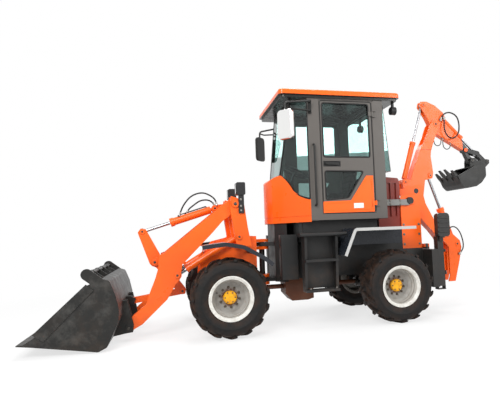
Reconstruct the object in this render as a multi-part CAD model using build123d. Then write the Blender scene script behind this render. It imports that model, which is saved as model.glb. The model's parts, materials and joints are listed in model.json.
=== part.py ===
from build123d import *
import os
from math import atan2, degrees, hypot

# Articulated backhoe loader with a cab, a front loader bucket and a folding rear backhoe.
# Millimetres. While modelling, x runs forward from the rear axle, y to the left and z up from the
# ground. save() then shifts every piece so that the finished part's origin is at ORIGIN_X.
os.makedirs("parts", exist_ok=True)

# ---- Driving dimensions -------------------------------------------------------------------------
ORIGIN_X = 1156          # middle of the machine's length, ahead of the rear axle
WHEELBASE = 2169
TRACK = 1497             # centre to centre of the tyres
TYRE_OD = 940            # over the lugs
TYRE_WIDTH = 388
LUG_HEIGHT = 27
LUG_COUNT = 15           # on each side of the tread
LUG_WIDTH = 34
LUG_SLANT = 118          # how far round the tyre a lug runs from the middle to the shoulder
RIM_FLANGE_R = 263
RIM_SEAT_R = 232
HUB_CAP_R = 80
HINGE_X = 1620           # the articulation pin, ahead of the rear axle
SWING_X = -1185          # the backhoe's swing pin, behind the rear axle

CAB_HALF = 660           # half the cab's width at its sides
CAB_FLOOR_Z = 1352
ROOF_TOP_Z = 3060
CAB_TOP_Z = ROOF_TOP_Z - 126     # top of the doors and of the glass
CAB_REAR_X = 15
A_PILLAR_X = 1083        # front face of the door's front pillar
DOOR_FRONT_X = 926
DOOR_REAR_X = 172
DOOR_SILL_Z = 1431
FRAME_HALF = 350         # outer face of the rear frame's side plates

GAP = 0.3                # between pieces that seat on each other
RUNNING = 5              # between pieces that move past each other
PLATE = 20               # frame plates
SHEET = 6                # panels and fenders
GLASS = 6

AXLE_Z = TYRE_OD / 2
FRONT_X = WHEELBASE      # the front axle
WHEEL_Y = TRACK / 2


# ---- Helpers ------------------------------------------------------------------------------------
def save(name, shape):
    export_step(Pos(-ORIGIN_X, 0, 0) * shape, f"parts/{name}.step")


def from_side(face, y_from, y_to):
    """Extrude a face drawn as (x, z) across the machine, from y_from to y_to."""
    return Plane.XZ.offset(-y_to) * extrude(face, y_to - y_from)


def outline(points, radius=0):
    """A closed face through the points, its corners rounded where radius asks for it."""
    if radius == 0:
        return make_face(Polyline(*points, close=True))
    return make_face(FilletPolyline(*points, radius=radius, close=True))


def plate(points, y_from, y_to, radius=0):
    return from_side(outline(points, radius), y_from, y_to)


def sheet(path, thickness, y_from, y_to, radius):
    """A bent sheet: the open path, thickened to its left, across the machine."""
    line = FilletPolyline(*path, radius=radius)
    return from_side(make_face(offset(line, thickness, side=Side.LEFT)), y_from, y_to)


def disc(x, z, radius, y_from, y_to):
    """A round boss or pin whose axis runs across the machine."""
    return from_side(Pos(x, z) * Circle(radius), y_from, y_to)


def block(x_from, x_to, y_from, y_to, z_from, z_to):
    size = (x_to - x_from, y_to - y_from, z_to - z_from)
    middle = ((x_from + x_to) / 2, (y_from + y_to) / 2, (z_from + z_to) / 2)
    return Pos(*middle) * Box(*size)


def both(shape):
    """The shape and its mirror image on the machine's other side."""
    return shape + mirror(shape, about=Plane.XZ)


def pair(shape):
    """The same as both(), for shapes that stay two separate solids."""
    return Compound(children=[*shape.solids(), *mirror(shape, about=Plane.XZ).solids()])


def bar(start, end, width, depth):
    """A square bar between two points."""
    start, end = Vector(*start), Vector(*end)
    along = end - start
    base = Plane(origin=start, z_dir=along)
    return extrude(base * Rectangle(width, depth), along.length)


def tube_run(points, radius, bend):
    """A round bar along straight runs joined by bends."""
    path = FilletPolyline(*points, radius=bend)
    section = Plane(origin=path @ 0, z_dir=path % 0) * Circle(radius)
    return sweep(section, path=path)


def shifted(points, x, z):
    return [(x + px, z + pz) for px, pz in points]


def around_y(profile, x, y, z):
    """Revolve a profile of (radius, y) about an axle that runs across the machine."""
    face = make_face(Polyline(*profile, close=True))
    return Pos(x, y, z) * revolve(face, Axis.Y)


UP = (Align.CENTER, Align.CENTER, Align.MIN)
CLEVIS_REACH = 58        # from a cylinder's base pin to the foot of its barrel


def ram(base, tip, y, barrel_r, rod_r, barrel_length, tail, eye_width, pin_r):
    """A hydraulic cylinder: its barrel, pinned at base, and its rod, with its eye at tip.

    The rod's tail is at a distance of tail from the base pin. base and tip are (x, z).
    """
    angle = degrees(atan2(tip[1] - base[1], tip[0] - base[0]))
    length = hypot(tip[0] - base[0], tip[1] - base[1])
    lay = Pos(base[0], y, base[1]) * Rot(0, 90 - angle, 0)   # +z of the ram is its own axis
    eye_r = pin_r * 2
    across = Rot(90, 0, 0)
    start = CLEVIS_REACH
    barrel = Pos(0, 0, start) * Cylinder(barrel_r, barrel_length - start, align=UP)
    barrel += Pos(0, 0, barrel_length - barrel_r) * Cylinder(barrel_r * 1.16, barrel_r, align=UP)
    barrel += Cylinder(eye_width / 2, start + 5, align=UP)
    barrel += across * Cylinder(eye_r, eye_width)
    bore_from = min(tail - 8, start + 12)
    bore = barrel_length - bore_from
    barrel -= Pos(0, 0, bore_from) * Cylinder(rod_r + 1, bore + 1, align=UP)
    barrel -= across * Cylinder(pin_r + GAP, eye_width + 2)
    rod = Pos(0, 0, tail) * Cylinder(rod_r, length - tail - pin_r - 4, align=UP)
    rod += Pos(0, 0, length) * across * Cylinder(eye_r, eye_width)
    rod -= Pos(0, 0, length) * across * Cylinder(pin_r + GAP, eye_width + 2)
    return lay * barrel, lay * rod


# ---- Wheels -------------------------------------------------------------------------------------
RIM_HALF = 176           # half the rim's width over its flanges
RIM_WALL = 10
DISC_INSET = 182         # from the rim's outer edge back to the wheel disc
DISC_WALL = 12
HUB_R = 95
SPINDLE_R = 40
CARCASS_R = TYRE_OD / 2 - LUG_HEIGHT


def tyre():
    half = TYRE_WIDTH / 2
    flank = [  # radius, y: from the bead over the shoulder to the middle of the tread
        (RIM_SEAT_R + GAP, RIM_HALF - 20),
        (RIM_FLANGE_R + 4, RIM_HALF - 10),
        (CARCASS_R - 95, half),
        (CARCASS_R - 28, half - 14),
        (CARCASS_R - 4, half - 50),
        (CARCASS_R, 0),
    ]
    profile = flank + [(radius, -y) for radius, y in flank[-2::-1]]
    body = revolve(make_face(Polyline(*profile, close=True)), Axis.Y)
    # A lug is a bar on the tread, slanted from the middle to the shoulder, and cut to the outline.
    foot = CARCASS_R - 34
    shape = Polyline((0, 0), (LUG_WIDTH, 0), (LUG_WIDTH + LUG_SLANT, half), (LUG_SLANT, half),
                     close=True)
    lug = extrude(Plane.XY.offset(foot) * make_face(shape), LUG_HEIGHT + 34)
    top = TYRE_OD / 2
    edge = [(foot - 10, half + 1), (CARCASS_R - 34, half), (top - 18, half - 14), (top - 3, half - 60),
            (top, 0)]
    ring = edge + [(radius, -y) for radius, y in edge[-2::-1]]
    lug &= revolve(make_face(Polyline(*ring, close=True)), Axis.Y)
    step = 360 / LUG_COUNT
    lugs = [Rot(0, step * turn, 0) * lug for turn in range(LUG_COUNT)]
    other = Rot(0, step / 2, 0) * mirror(lug, about=Plane.XZ)
    lugs += [Rot(0, step * turn, 0) * other for turn in range(LUG_COUNT)]
    return body.fuse(*lugs)


def rim(side):
    """One wheel: rim, disc and hub. side is 1 on the left and -1 on the right."""
    inner = RIM_SEAT_R - RIM_WALL
    face = RIM_HALF - DISC_INSET
    profile = [  # radius, y with +y towards the wheel's outer side
        (RIM_FLANGE_R, RIM_HALF), (RIM_FLANGE_R, RIM_HALF - 6), (RIM_SEAT_R + 8, RIM_HALF - 10),
        (RIM_SEAT_R, RIM_HALF - 16), (RIM_SEAT_R, 16 - RIM_HALF),
        (RIM_SEAT_R + 8, 10 - RIM_HALF), (RIM_FLANGE_R, 6 - RIM_HALF), (RIM_FLANGE_R, -RIM_HALF),
        (RIM_FLANGE_R - 12, -RIM_HALF), (inner, 20 - RIM_HALF), (inner, face + 20),
        (inner - 38, face - DISC_WALL), (HUB_R, face - DISC_WALL),
        (HUB_R, face - DISC_WALL - 70), (SPINDLE_R + GAP, face - DISC_WALL - 70),
        (SPINDLE_R + GAP, face + 10), (0, face + 10), (0, face + 46), (HUB_CAP_R - 10, face + 46),
        (HUB_CAP_R, face + 36), (HUB_CAP_R, face), (inner - 44, face), (inner - 10, face + 30),
        (inner - 10, 60), (inner, 80), (inner, RIM_HALF - 20), (RIM_FLANGE_R - 12, RIM_HALF),
    ]
    wheel = revolve(make_face(Polyline(*profile, close=True)), Axis.Y)
    return wheel if side > 0 else mirror(wheel, about=Plane.XZ)


WHEELS = [  # name, x of its axle, side
    ("front_left", FRONT_X, 1), ("front_right", FRONT_X, -1),
    ("rear_left", 0, 1), ("rear_right", 0, -1),
]


def make_wheels():
    rubber = tyre()
    for name, x, side in WHEELS:
        turned = rubber if side > 0 else mirror(rubber, about=Plane.XZ)
        place = Pos(x, side * WHEEL_Y, AXLE_Z)
        save(f"tyre_{name}", place * turned)
        save(f"wheel_{name}", place * rim(side))


# ---- Axles --------------------------------------------------------------------------------------
HUB_BACK = WHEEL_Y + RIM_HALF - DISC_INSET - DISC_WALL - 70   # inner face of a hub
AXLE_TUBE_R = 72
AXLE_BOX_R = 165
PINION = 270             # from an axle's middle to its pinion flange
SADDLE_Z = AXLE_Z + AXLE_TUBE_R + 8 + GAP    # underside of the saddles that rest on an axle
SHAFT_R = 32


def axle(x, nose, pad_y):
    """Axle housing, its pinion nose towards nose (1 forward, -1 back), with pads for the saddles."""
    end = HUB_BACK - RUNNING
    half = [  # radius, y from the middle out to the spindle's end
        (AXLE_BOX_R, 0), (AXLE_BOX_R, 55), (AXLE_BOX_R - 45, 110), (AXLE_TUBE_R + 8, 200),
        (AXLE_TUBE_R, end - 20), (HUB_R + 12, end - 20), (HUB_R + 12, end), (SPINDLE_R, end),
        (SPINDLE_R, HUB_BACK + 60),
    ]
    profile = half + [(0, HUB_BACK + 60), (0, -HUB_BACK - 60)] + [(r, -y) for r, y in half[:0:-1]]
    housing = around_y(profile, x, 0, AXLE_Z)
    housing += both(block(x - 80, x + 80, pad_y - 35, pad_y + 35, AXLE_Z + 30, SADDLE_Z - GAP))
    nose_end = x + nose * PINION
    cone = Plane(origin=(x, 0, AXLE_Z), z_dir=(nose, 0, 0))
    housing += extrude(cone * Circle(70), PINION - 20)
    housing += extrude(Plane(origin=(nose_end - nose * 20, 0, AXLE_Z), z_dir=(nose, 0, 0))
                       * Circle(60), 20)
    return housing


# ---- Rear frame ---------------------------------------------------------------------------------
NOSE_X = 1480            # front bulkhead of the rear frame
NOSE_HALF = 222
HINGE_HALF = 150         # half the width of the hinge ears
HINGE_PIN_R = 38
HINGE_EARS = [(1040, 1090), (560, 610)]     # bottom and top of each pair of rear ears
FRAME_LOW_Z = AXLE_Z + AXLE_TUBE_R + 20
FRAME_TOP_Z = 1130
MOUNT_X = -350           # where the backhoe mount starts
ENGINE_LOW_Z = 690
FENDER_IN = WHEEL_Y - TYRE_WIDTH / 2 + 34
FENDER_OUT = WHEEL_Y + TYRE_WIDTH / 2 - 4
RAIL_OUT = FENDER_IN - 50     # outer face of the rails that carry the cab
RAIL_FRONT = 1170
PLATFORM_FRONT = 1262


def rear_frame():
    side = plate([(MOUNT_X, 640), (-230, FRAME_LOW_Z + 8), (230, FRAME_LOW_Z + 8), (420, 600),
                  (1180, 600), (NOSE_X - 120, 640), (NOSE_X - 120, FRAME_TOP_Z),
                  (MOUNT_X, FRAME_TOP_Z)], FRAME_HALF - PLATE, FRAME_HALF)
    shape = both(side)
    inside = FRAME_HALF - PLATE
    for x in (MOUNT_X + 90, 640, 1320):
        shape += block(x, x + PLATE, -inside, inside, 660, FRAME_TOP_Z)
    # The nose narrows to the bulkhead that carries the hinge ears.
    taper = [(NOSE_X - 140, -FRAME_HALF), (NOSE_X, -NOSE_HALF), (NOSE_X, NOSE_HALF),
             (NOSE_X - 140, FRAME_HALF)]
    shape += extrude(Plane.XY.offset(560) * outline(taper), CAB_FLOOR_Z - GAP - 560)
    # Beams that carry the engine, and cross beams under the cab.
    for x in (-100, 440):
        shape += block(x, x + 60, -inside, inside, ENGINE_LOW_Z - 45, ENGINE_LOW_Z - GAP)
    for x in (120, 960):
        shape += block(x, x + 90, -RAIL_OUT, RAIL_OUT, FRAME_TOP_Z, CAB_FLOOR_Z - GAP)
    shape += both(block(120, RAIL_FRONT, RAIL_OUT - 46, RAIL_OUT, FRAME_TOP_Z, CAB_FLOOR_Z - GAP))
    for low, high in HINGE_EARS:
        ear = outline([(NOSE_X - 20, -HINGE_HALF), (HINGE_X, -95), (HINGE_X, 95),
                       (NOSE_X - 20, HINGE_HALF)])
        shape += extrude(Plane.XY.offset(low) * ear, high - low)
        shape += Pos(HINGE_X, 0, low) * Cylinder(95, high - low, align=UP)
    # Axle saddles.
    shape += both(block(-110, 110, FRAME_HALF - 90, FRAME_HALF, SADDLE_Z, FRAME_LOW_Z + 60))
    top = HINGE_EARS[0][1] + 25
    low = HINGE_EARS[1][0] - 25
    shape += Pos(HINGE_X, 0, low) * Cylinder(HINGE_PIN_R, top - low, align=UP)
    return shape


def engine_block():
    return block(-140, 560, -250, 250, ENGINE_LOW_Z, 1110)


GEARBOX_X = (940, 1336)


def drive_line():
    """Transfer gearbox under the cab, with the shafts to both axles."""
    x_from, x_to = GEARBOX_X
    shape = plate([(x_from, 300), (x_from + 80, 280), (x_to - 90, 280), (x_to, 380), (x_to, 600),
                   (x_to - 60, 640), (x_from + 60, 640), (x_from, 560)], -150, 150)
    shape += block(x_from + 120, x_from + 260, -110, 110, 600, 900)
    shafts = shaft(PINION + GAP, x_from) + shaft(x_to, HINGE_X - 50)
    return shape + shafts


def shaft(x_from, x_to):
    """A length of the drive line between two places on the machine's axis."""
    return extrude(Plane(origin=(x_from, 0, AXLE_Z), z_dir=(1, 0, 0)) * Circle(SHAFT_R), x_to - x_from)


def rear_hood():
    low = FRAME_TOP_Z + GAP
    body = plate([(MOUNT_X, low), (-10, low), (-10, 1900), (-40, 1955), (MOUNT_X + 20, 1930),
                  (MOUNT_X, 1900)], -FRAME_HALF + 20, FRAME_HALF - 20)
    slots = [block(-300 + i * 90, -250 + i * 90, FRAME_HALF - 40, FRAME_HALF, 1380, 1860)
             for i in range(3)]
    for slot in slots:
        body -= slot
        body -= mirror(slot, about=Plane.XZ)
    return body


FENDER_LIP = 38           # depth of a fender's turned-down outer edge


def rear_fenders():
    arch = [(763, 900), (614, 1234), (-240, 1234)]
    skin = sheet(arch, -SHEET, FENDER_IN - 34, FENDER_OUT, 60)
    skin += sheet(arch, FENDER_LIP, FENDER_OUT - SHEET, FENDER_OUT, 60)
    wall = plate(arch + [(-240, 1010), (560, 1010), (600, 930), (720, 900)],
                 FENDER_IN - 40, FENDER_IN - 34)
    stay = block(480, 540, FRAME_HALF + GAP, FENDER_IN - 34, 1060, 1120)
    stay += block(-140, -80, FRAME_HALF + GAP, FENDER_IN - 34, 1060, 1120)
    return pair(skin + wall + stay)


LADDER_Z = (460, 1160)
LADDER_BACK = FENDER_IN + 40  # back panel of a ladder
LADDER_SIDES = [(780, 814), (1190, 1224)]   # x from and to of its two side plates
RUNG_Z = (470, 845)


def cab_steps():
    """Platform and ladder on each side, hung on the frame by two arms, with a round edge bar."""
    y_out = CAB_HALF + 130
    low, top = LADDER_Z
    rear, front = LADDER_SIDES[0][0], LADDER_SIDES[1][1]
    shape = block(rear, PLATFORM_FRONT, RAIL_OUT + GAP, y_out, 1150, 1190)
    edge = Plane(origin=(PLATFORM_FRONT + 25, y_out, 1170), z_dir=(-1, 0, 0))
    shape += extrude(edge * Circle(24), PLATFORM_FRONT + 25 - 672)
    for x_from, x_to in LADDER_SIDES:
        side = [(LADDER_BACK - 10, low), (y_out - 60, low), (y_out - 20, top), (LADDER_BACK - 10, top)]
        shape += extrude(Plane(origin=(x_from, 0, 0), x_dir=(0, 1, 0), z_dir=(1, 0, 0))
                         * outline(side), x_to - x_from)
    shape += block(rear, front, LADDER_BACK - 10, LADDER_BACK, low + 30, top)
    for z in RUNG_Z:
        shape += block(rear + 4, front - 4, LADDER_BACK + 10, y_out, z - 15, z + 15)
    for x in (850, 1150):
        shape += block(x, x + 60, FRAME_HALF + GAP, RAIL_OUT + 60, 1075, FRAME_TOP_Z - GAP)
        shape += block(x, x + 60, RAIL_OUT + GAP, RAIL_OUT + 60, 1075, 1155)
    return pair(shape)


def side_boxes():
    """Battery box and tank between the frame and the ladders."""
    box = block(1227, NOSE_X - 20, FRAME_HALF + GAP, RAIL_OUT - 48, 600, FRAME_TOP_Z + 50)
    return pair(fillet(box.edges().filter_by(Axis.Z), 20))


# ---- Cab ----------------------------------------------------------------------------------------
POST_LOW = (1395, 300, 1975)     # foot of the windshield's corner post
POST_TOP = (1263, 450, CAB_TOP_Z)
COWL_NOSE_X = 1555
COWL_LOW_Z = 1335
COWL_WALL = 12
PILLAR_DEPTH = 60
REAR_WINDOW_Z = (1985, CAB_TOP_Z - 34)
REAR_BULGE = 95          # how far the rear window stands out behind the cab, at its foot
DOOR_HINGE = (DOOR_REAR_X + 4, CAB_HALF + 14)
DOOR_HINGE_Z = (CAB_FLOOR_Z + 208, CAB_TOP_Z - 174)


def cab_plan(inset):
    """The cab's floor plan, as a face, its walls drawn in by inset."""
    half = CAB_HALF - inset
    corner = (1500 - inset, 230 - inset * 0.6)
    front = A_PILLAR_X
    line = Polyline((front, -half), (CAB_REAR_X + inset, -half), (CAB_REAR_X + inset, half),
                    (front, half), corner)
    nose = ThreePointArc(corner, (COWL_NOSE_X - inset, 0), (corner[0], -corner[1]))
    last = Line((corner[0], -corner[1]), (front, -half))
    return make_face(Curve() + [line, nose, last])


def cab_body():
    half = CAB_HALF
    inner = half - PILLAR_DEPTH
    door = RUNNING - 1
    side = plate([(CAB_REAR_X, CAB_FLOOR_Z), (A_PILLAR_X, CAB_FLOOR_Z), (A_PILLAR_X, CAB_TOP_Z),
                  (CAB_REAR_X, CAB_TOP_Z)], inner, half)
    side -= block(DOOR_REAR_X, DOOR_FRONT_X, inner - 1, half + 1, DOOR_SILL_Z, CAB_TOP_Z + 1)
    shape = both(side)
    # Floor with its rim, and the header under the roof.
    shape += extrude(Plane.XY.offset(CAB_FLOOR_Z) * cab_plan(COWL_WALL + GAP), PLATE)
    header = extrude(cab_header(CAB_TOP_Z + door, 0), 50)
    hole = [(CAB_REAR_X + 60, -inner), (CAB_REAR_X + 60, inner), (A_PILLAR_X - 10, inner),
            (POST_TOP[0] - 50, POST_TOP[1] - 50), (POST_TOP[0] - 50, 50 - POST_TOP[1]),
            (A_PILLAR_X - 10, -inner)]
    header -= extrude(Plane.XY.offset(CAB_TOP_Z) * outline(hole), 80)
    shape += header
    shape += both(block(CAB_REAR_X, DOOR_REAR_X - 20, inner, half, CAB_TOP_Z - 5, CAB_TOP_Z + 20))
    shape += both(block(DOOR_FRONT_X + 10, A_PILLAR_X, inner, half, CAB_TOP_Z - 5,
                        CAB_TOP_Z + 20))
    # Rear wall, with the window above it.
    shape += block(CAB_REAR_X, CAB_REAR_X + 30, -inner, inner, CAB_FLOOR_Z, REAR_WINDOW_Z[0])
    shape += block(CAB_REAR_X, CAB_REAR_X + 30, -inner, inner, REAR_WINDOW_Z[1], CAB_TOP_Z + 20)
    # Hinge brackets and pins of the left door.
    x, y = DOOR_HINGE
    for z in DOOR_HINGE_Z:
        for low in (z - 44, z + 32):
            shape += block(x - 46, x, half - 1, y + 10, low, low + 12)
            shape += Pos(x, y, low) * Cylinder(10, 12, align=UP)
        shape += Pos(x, y, z - 40) * Cylinder(4, 80, align=UP)
    # Grab rail on the front pillar.
    rail_x = (DOOR_FRONT_X + A_PILLAR_X) / 2 + 16
    shape += tube_run([(rail_x, half - 5, 1546), (rail_x, half + 46, 1546), (rail_x, half + 46, 2335),
                       (rail_x, half - 5, 2335)], 14, 30)
    # Corner posts of the windshield.
    for side in (1, -1):
        low = (POST_LOW[0] - 26, side * (POST_LOW[1] - 16), POST_LOW[2] - 30)
        top = (POST_TOP[0] - 26, side * (POST_TOP[1] - 16), POST_TOP[2] + 20)
        shape += bar(low, top, 30, 30)
    return shape


COWL_PEAK = (POST_LOW[0], POST_LOW[2])
COWL_GROOVE_Z = (1404, 1416)


def cowl_side(drop, x_rear):
    """The cowl's side view: a bulged nose, its peak, and the swept edge down to the pillar."""
    x, z = COWL_PEAK
    z -= drop
    foot = (x + 195, z - 185)
    sill = (x_rear, z - 347)
    nose = ThreePointArc((x, z), (x + 105, z - 37), foot)
    swell = ThreePointArc((x, z), (x - 71, z - 96), (x - 129, z - 215))
    sweep = ThreePointArc((x - 129, z - 215), (x - 210, z - 297), sill)
    front = x + 400
    under = Polyline(foot, (front, foot[1]), (front, COWL_LOW_Z - 100), (x_rear, COWL_LOW_Z - 100), sill)
    return make_face(Curve() + [nose, swell, sweep, under])


def cowl():
    """The rounded sheet nose below the windshield, open towards the cab and upwards."""
    def solid(inset, z_low, z_high):
        return extrude(Plane.XY.offset(z_low) * cab_plan(inset), z_high - z_low)
    side = from_side(cowl_side(0, A_PILLAR_X + GAP), -CAB_HALF - 10, CAB_HALF + 10)
    shape = solid(0, COWL_LOW_Z, COWL_LOW_Z + 800) & side
    roofed = solid(COWL_WALL, COWL_LOW_Z - 40, COWL_LOW_Z + 800)
    roofed -= plate([(COWL_PEAK[0] + GAP, 1300), (1800, 1300), (1800, 2300), (COWL_PEAK[0] + GAP, 2300)],
                    -CAB_HALF, CAB_HALF)
    nose = from_side(cowl_side(COWL_WALL, A_PILLAR_X - 40), -CAB_HALF - 10, CAB_HALF + 10)
    shape -= roofed + (solid(COWL_WALL, COWL_LOW_Z - 40, COWL_LOW_Z + 800) & nose)
    low, high = COWL_GROOVE_Z
    shape -= solid(-5, low, high) - solid(COWL_WALL / 2, low - 1, high + 1)
    return shape


def cab_header(rise, grow):
    """The header's outline under the roof, grown outwards, as a face at height rise."""
    half = CAB_HALF + grow
    ring = [(CAB_REAR_X - grow, -half), (CAB_REAR_X - grow, half), (A_PILLAR_X + grow / 2, half),
            (POST_TOP[0] + grow, POST_TOP[1] + grow / 2), (POST_TOP[0] + grow, -POST_TOP[1] - grow / 2),
            (A_PILLAR_X + grow / 2, -half)]
    return Plane.XY.offset(rise) * outline(ring)


ROOF_X = (-240, 1462)
ROOF_SEAT_Z = CAB_TOP_Z + RUNNING - 1 + 50 + GAP
ROOF_BODY = 38           # depth of the dark body under the slab


def roof():
    """Crowned slab with a darker body under it that wraps round the cab's header."""
    x_from, x_to = ROOF_X
    half = CAB_HALF + 40
    slab = block(x_from, x_to, -half, half, ROOF_SEAT_Z, ROOF_TOP_Z)
    slab = fillet(slab.edges().filter_by(Axis.Z), 60)
    slab = fillet(slab.faces().sort_by(Axis.Z)[-1].edges(), 30)
    body = block(x_from + 34, x_to - 34, -half + 26, half - 26, ROOF_SEAT_Z - ROOF_BODY, ROOF_SEAT_Z + 1)
    body = fillet(body.edges().filter_by(Axis.Z), 40)
    body -= extrude(cab_header(ROOF_SEAT_Z - 50, 1), 50)
    return slab + body


def pane(points, thickness):
    """A flat pane through three or more corners, thickened inwards along its normal."""
    face = Face(Wire.make_polygon([Vector(*p) for p in points], close=True))
    return extrude(face, thickness)


def rear_window():
    """A bent pane that stands out behind the cab, most at its foot, closed by cheeks of glass."""
    x = CAB_REAR_X - GAP
    low, top = REAR_WINDOW_Z

    def bubble(wall):
        section = [(x + wall, low + wall), (x - REAR_BULGE + wall, low + wall), (x - 18 + wall, top - wall),
                   (x + wall, top - wall)]
        return plate(section, wall - CAB_HALF + 30, CAB_HALF - 30 - wall)
    return bubble(0) - bubble(GLASS)


def cab_glass():
    """Windshield, corner panes and rear window."""
    low_x, low_y, low_z = POST_LOW
    top_x, top_y, top_z = POST_TOP
    beside = 7.3             # from the start of the run to the pane, clear of the pillar
    above = 10               # from the cowl's edge up to the pane
    windshield = pane([(low_x, -low_y, low_z), (low_x, low_y, low_z), (top_x, top_y, top_z),
                       (top_x, -top_y, top_z)], GLASS)
    # A corner pane stands in the upright plane from the front pillar to the corner post.
    start = Vector(A_PILLAR_X, CAB_HALF - 6, 0)
    run = Vector(low_x, low_y, 0) - start
    along = run.normalized()
    stand = Plane(origin=start, x_dir=along, z_dir=along.cross(Vector(0, 0, 1)))
    top_run = run.length * (top_x - A_PILLAR_X) / (low_x - A_PILLAR_X)
    corner = [(beside, 1600), (run.length, 1600), (run.length, low_z + 6), (top_run, top_z),
              (beside, top_z)]
    quarter = extrude(stand * outline(corner), GLASS)
    quarter -= Pos(0, 0, above) * from_side(cowl_side(0, A_PILLAR_X - 20), 0, CAB_HALF + 50)
    panes = [windshield, quarter, mirror(quarter, about=Plane.XZ), rear_window()]
    return Compound(children=[s for p in panes for s in p.solids()])


DOOR_THICK = 36
HANDLE = (775, 2085)
PANE_TOP_Z = CAB_TOP_Z - 44
UPPER_PANE = [(884, 2175), (884, PANE_TOP_Z), (230, PANE_TOP_Z), (230, 2175)]
LOWER_PANE = [(876, 1989), (336, 1985), (560, 1638), (873, 1611)]


def door_leaf(gap):
    """The left side's door, or the fixed panel that mirrors it; gap is its clearance all round."""
    y_out = CAB_HALF
    leaf = block(DOOR_REAR_X + gap, DOOR_FRONT_X - gap, y_out - DOOR_THICK, y_out,
                 DOOR_SILL_Z + gap, CAB_TOP_Z)
    for hole in (UPPER_PANE, LOWER_PANE):
        leaf -= plate(hole, y_out - 100, y_out + 50, 20)
    # The raised lower panel follows the lower window's slanted edge.
    raised = plate([(303, 1925), (533, 1600), (918, 1590), (918, 1443), (204, 1443), (204, 1925)],
                   y_out - 5, y_out + 8)
    leaf += raised
    # The handle: a lever over a shallow dish.
    x, z = HANDLE
    dish = from_side(Pos(x, z) * SlotOverall(230, 64), y_out - 8, y_out + 40)
    leaf -= dish
    leaf += plate(shifted([(-95, -14), (-70, -20), (60, -12), (95, -12), (95, 14), (-70, 16)], x, z),
                  y_out - 10, y_out + 20)
    return leaf


def door():
    leaf = door_leaf(RUNNING - 1)
    x, y = DOOR_HINGE
    for z in DOOR_HINGE_Z:
        leaf += Pos(x, y, z) * Cylinder(10, 60)
        leaf += block(x + 1, x + 56, CAB_HALF - 2, y - 4, z - 28, z + 28)
        leaf -= Pos(x, y, z) * Cylinder(4 + GAP, 62)
    return leaf


def door_glass():
    """Both panes, held in the door's window openings."""
    middle = CAB_HALF - DOOR_THICK / 2
    panes = []
    for hole in (UPPER_PANE, LOWER_PANE):
        face = offset(outline(hole, 20), -GAP)
        panes += from_side(face, middle - GLASS / 2, middle + GLASS / 2).solids()
    return Compound(children=panes)


def seat():
    low = CAB_FLOOR_Z + PLATE + GAP
    base = block(330, 630, -170, 170, low, low + 260)
    cushion = block(270, 730, -240, 240, low + 260, low + 370)
    cushion = fillet(cushion.edges(), 30)
    back = plate([(250, low + 330), (350, low + 350), (280, low + 900), (180, low + 880)],
                 -230, 230, 20)
    return base + cushion + back


def console():
    low = CAB_FLOOR_Z + PLATE + GAP
    shape = plate([(1120, low), (1330, low), (1250, low + 520), (1150, low + 560)], -90, 90)
    column = Plane(origin=(1190, 0, low + 500), z_dir=(-0.45, 0, 1))
    shape += extrude(column * Circle(25), 200)
    wheel = Plane(origin=(1100, 0, low + 690), z_dir=(-0.45, 0, 1))
    shape += wheel * Torus(190, 14)
    shape += wheel * Box(376, 26, 12)
    shape += wheel * Cylinder(45, 30)
    return shape


MIRROR = (1428, CAB_HALF + 180, CAB_TOP_Z - 387)
MIRROR_TURN = 41         # how far a mirror's back is turned outwards


def mirrors():
    """A mirror on each side, hung on a loop of tube from the cab's upper front corner."""
    x, y, z = MIRROR
    head = Pos(x, y, z) * Rot(0, 0, MIRROR_TURN) * mirror_head()
    y_root = CAB_HALF + GAP
    root = A_PILLAR_X - 30
    shape = block(root - 22, root + 22, y_root, y_root + 8, CAB_TOP_Z - 194, CAB_TOP_Z - 9)
    high, low = CAB_TOP_Z - 44, CAB_TOP_Z - 164
    shape += tube_run([(root, y_root + 6, high), (root, CAB_HALF + 70, high), (x, y, high - 60),
                       (x, y, z + 170)], 13, 45)
    shape += tube_run([(root, y_root + 6, low), (root, CAB_HALF + 45, low), (x - 60, y - 45, low),
                       (x - 2, y - 2, low + 30)], 11, 30)
    return pair(head + shape)


def mirror_head():
    """The mirror's shell, with its glass side towards -x."""
    shell = block(-20, 30, -112, 112, -188, 188)
    shell = fillet(shell.edges().filter_by(Axis.X), 55)
    return fillet(shell.faces().sort_by(Axis.X)[-1].edges(), 22)


def lamps():
    """Rear work lamps under the roof's edge."""
    seat_z = ROOF_SEAT_Z - ROOF_BODY - GAP
    body = Pos(-190, 560, seat_z - 110) * Rot(0, 90, 0) * Cylinder(55, 70)
    return pair(body + block(-205, -175, 545, 575, seat_z - 70, seat_z))


# ---- Backhoe mount ------------------------------------------------------------------------------
GUARD_Y = FRAME_HALF     # outer face of the tall side plates that flank the boom
GUARD_TOP_Z = 1680
BEAM_FRONT = MOUNT_X - 310    # the cross beam that carries stabilizers and swing ears
BEAM_BACK = BEAM_FRONT - 100
BEAM_HALF = 590
BEAM_TOP_Z = 900
SWING_EARS = [(827, 867), (486, 542)]       # bottom and top of the upper and the lower ear
SWING_PIN_R = 30
LEG_PIVOT = (510, 430)   # y and z of a stabilizer's hinge
LEG_X = BEAM_BACK - 55        # middle of a stabilizer leg
LEG_HALF = 45
LEG_PIN = (516, 630)     # y and z of its cylinder's rod pin
LEG_RAM_BASE = (180, 935)
EAR = 12                 # thickness of the small ears


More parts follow.
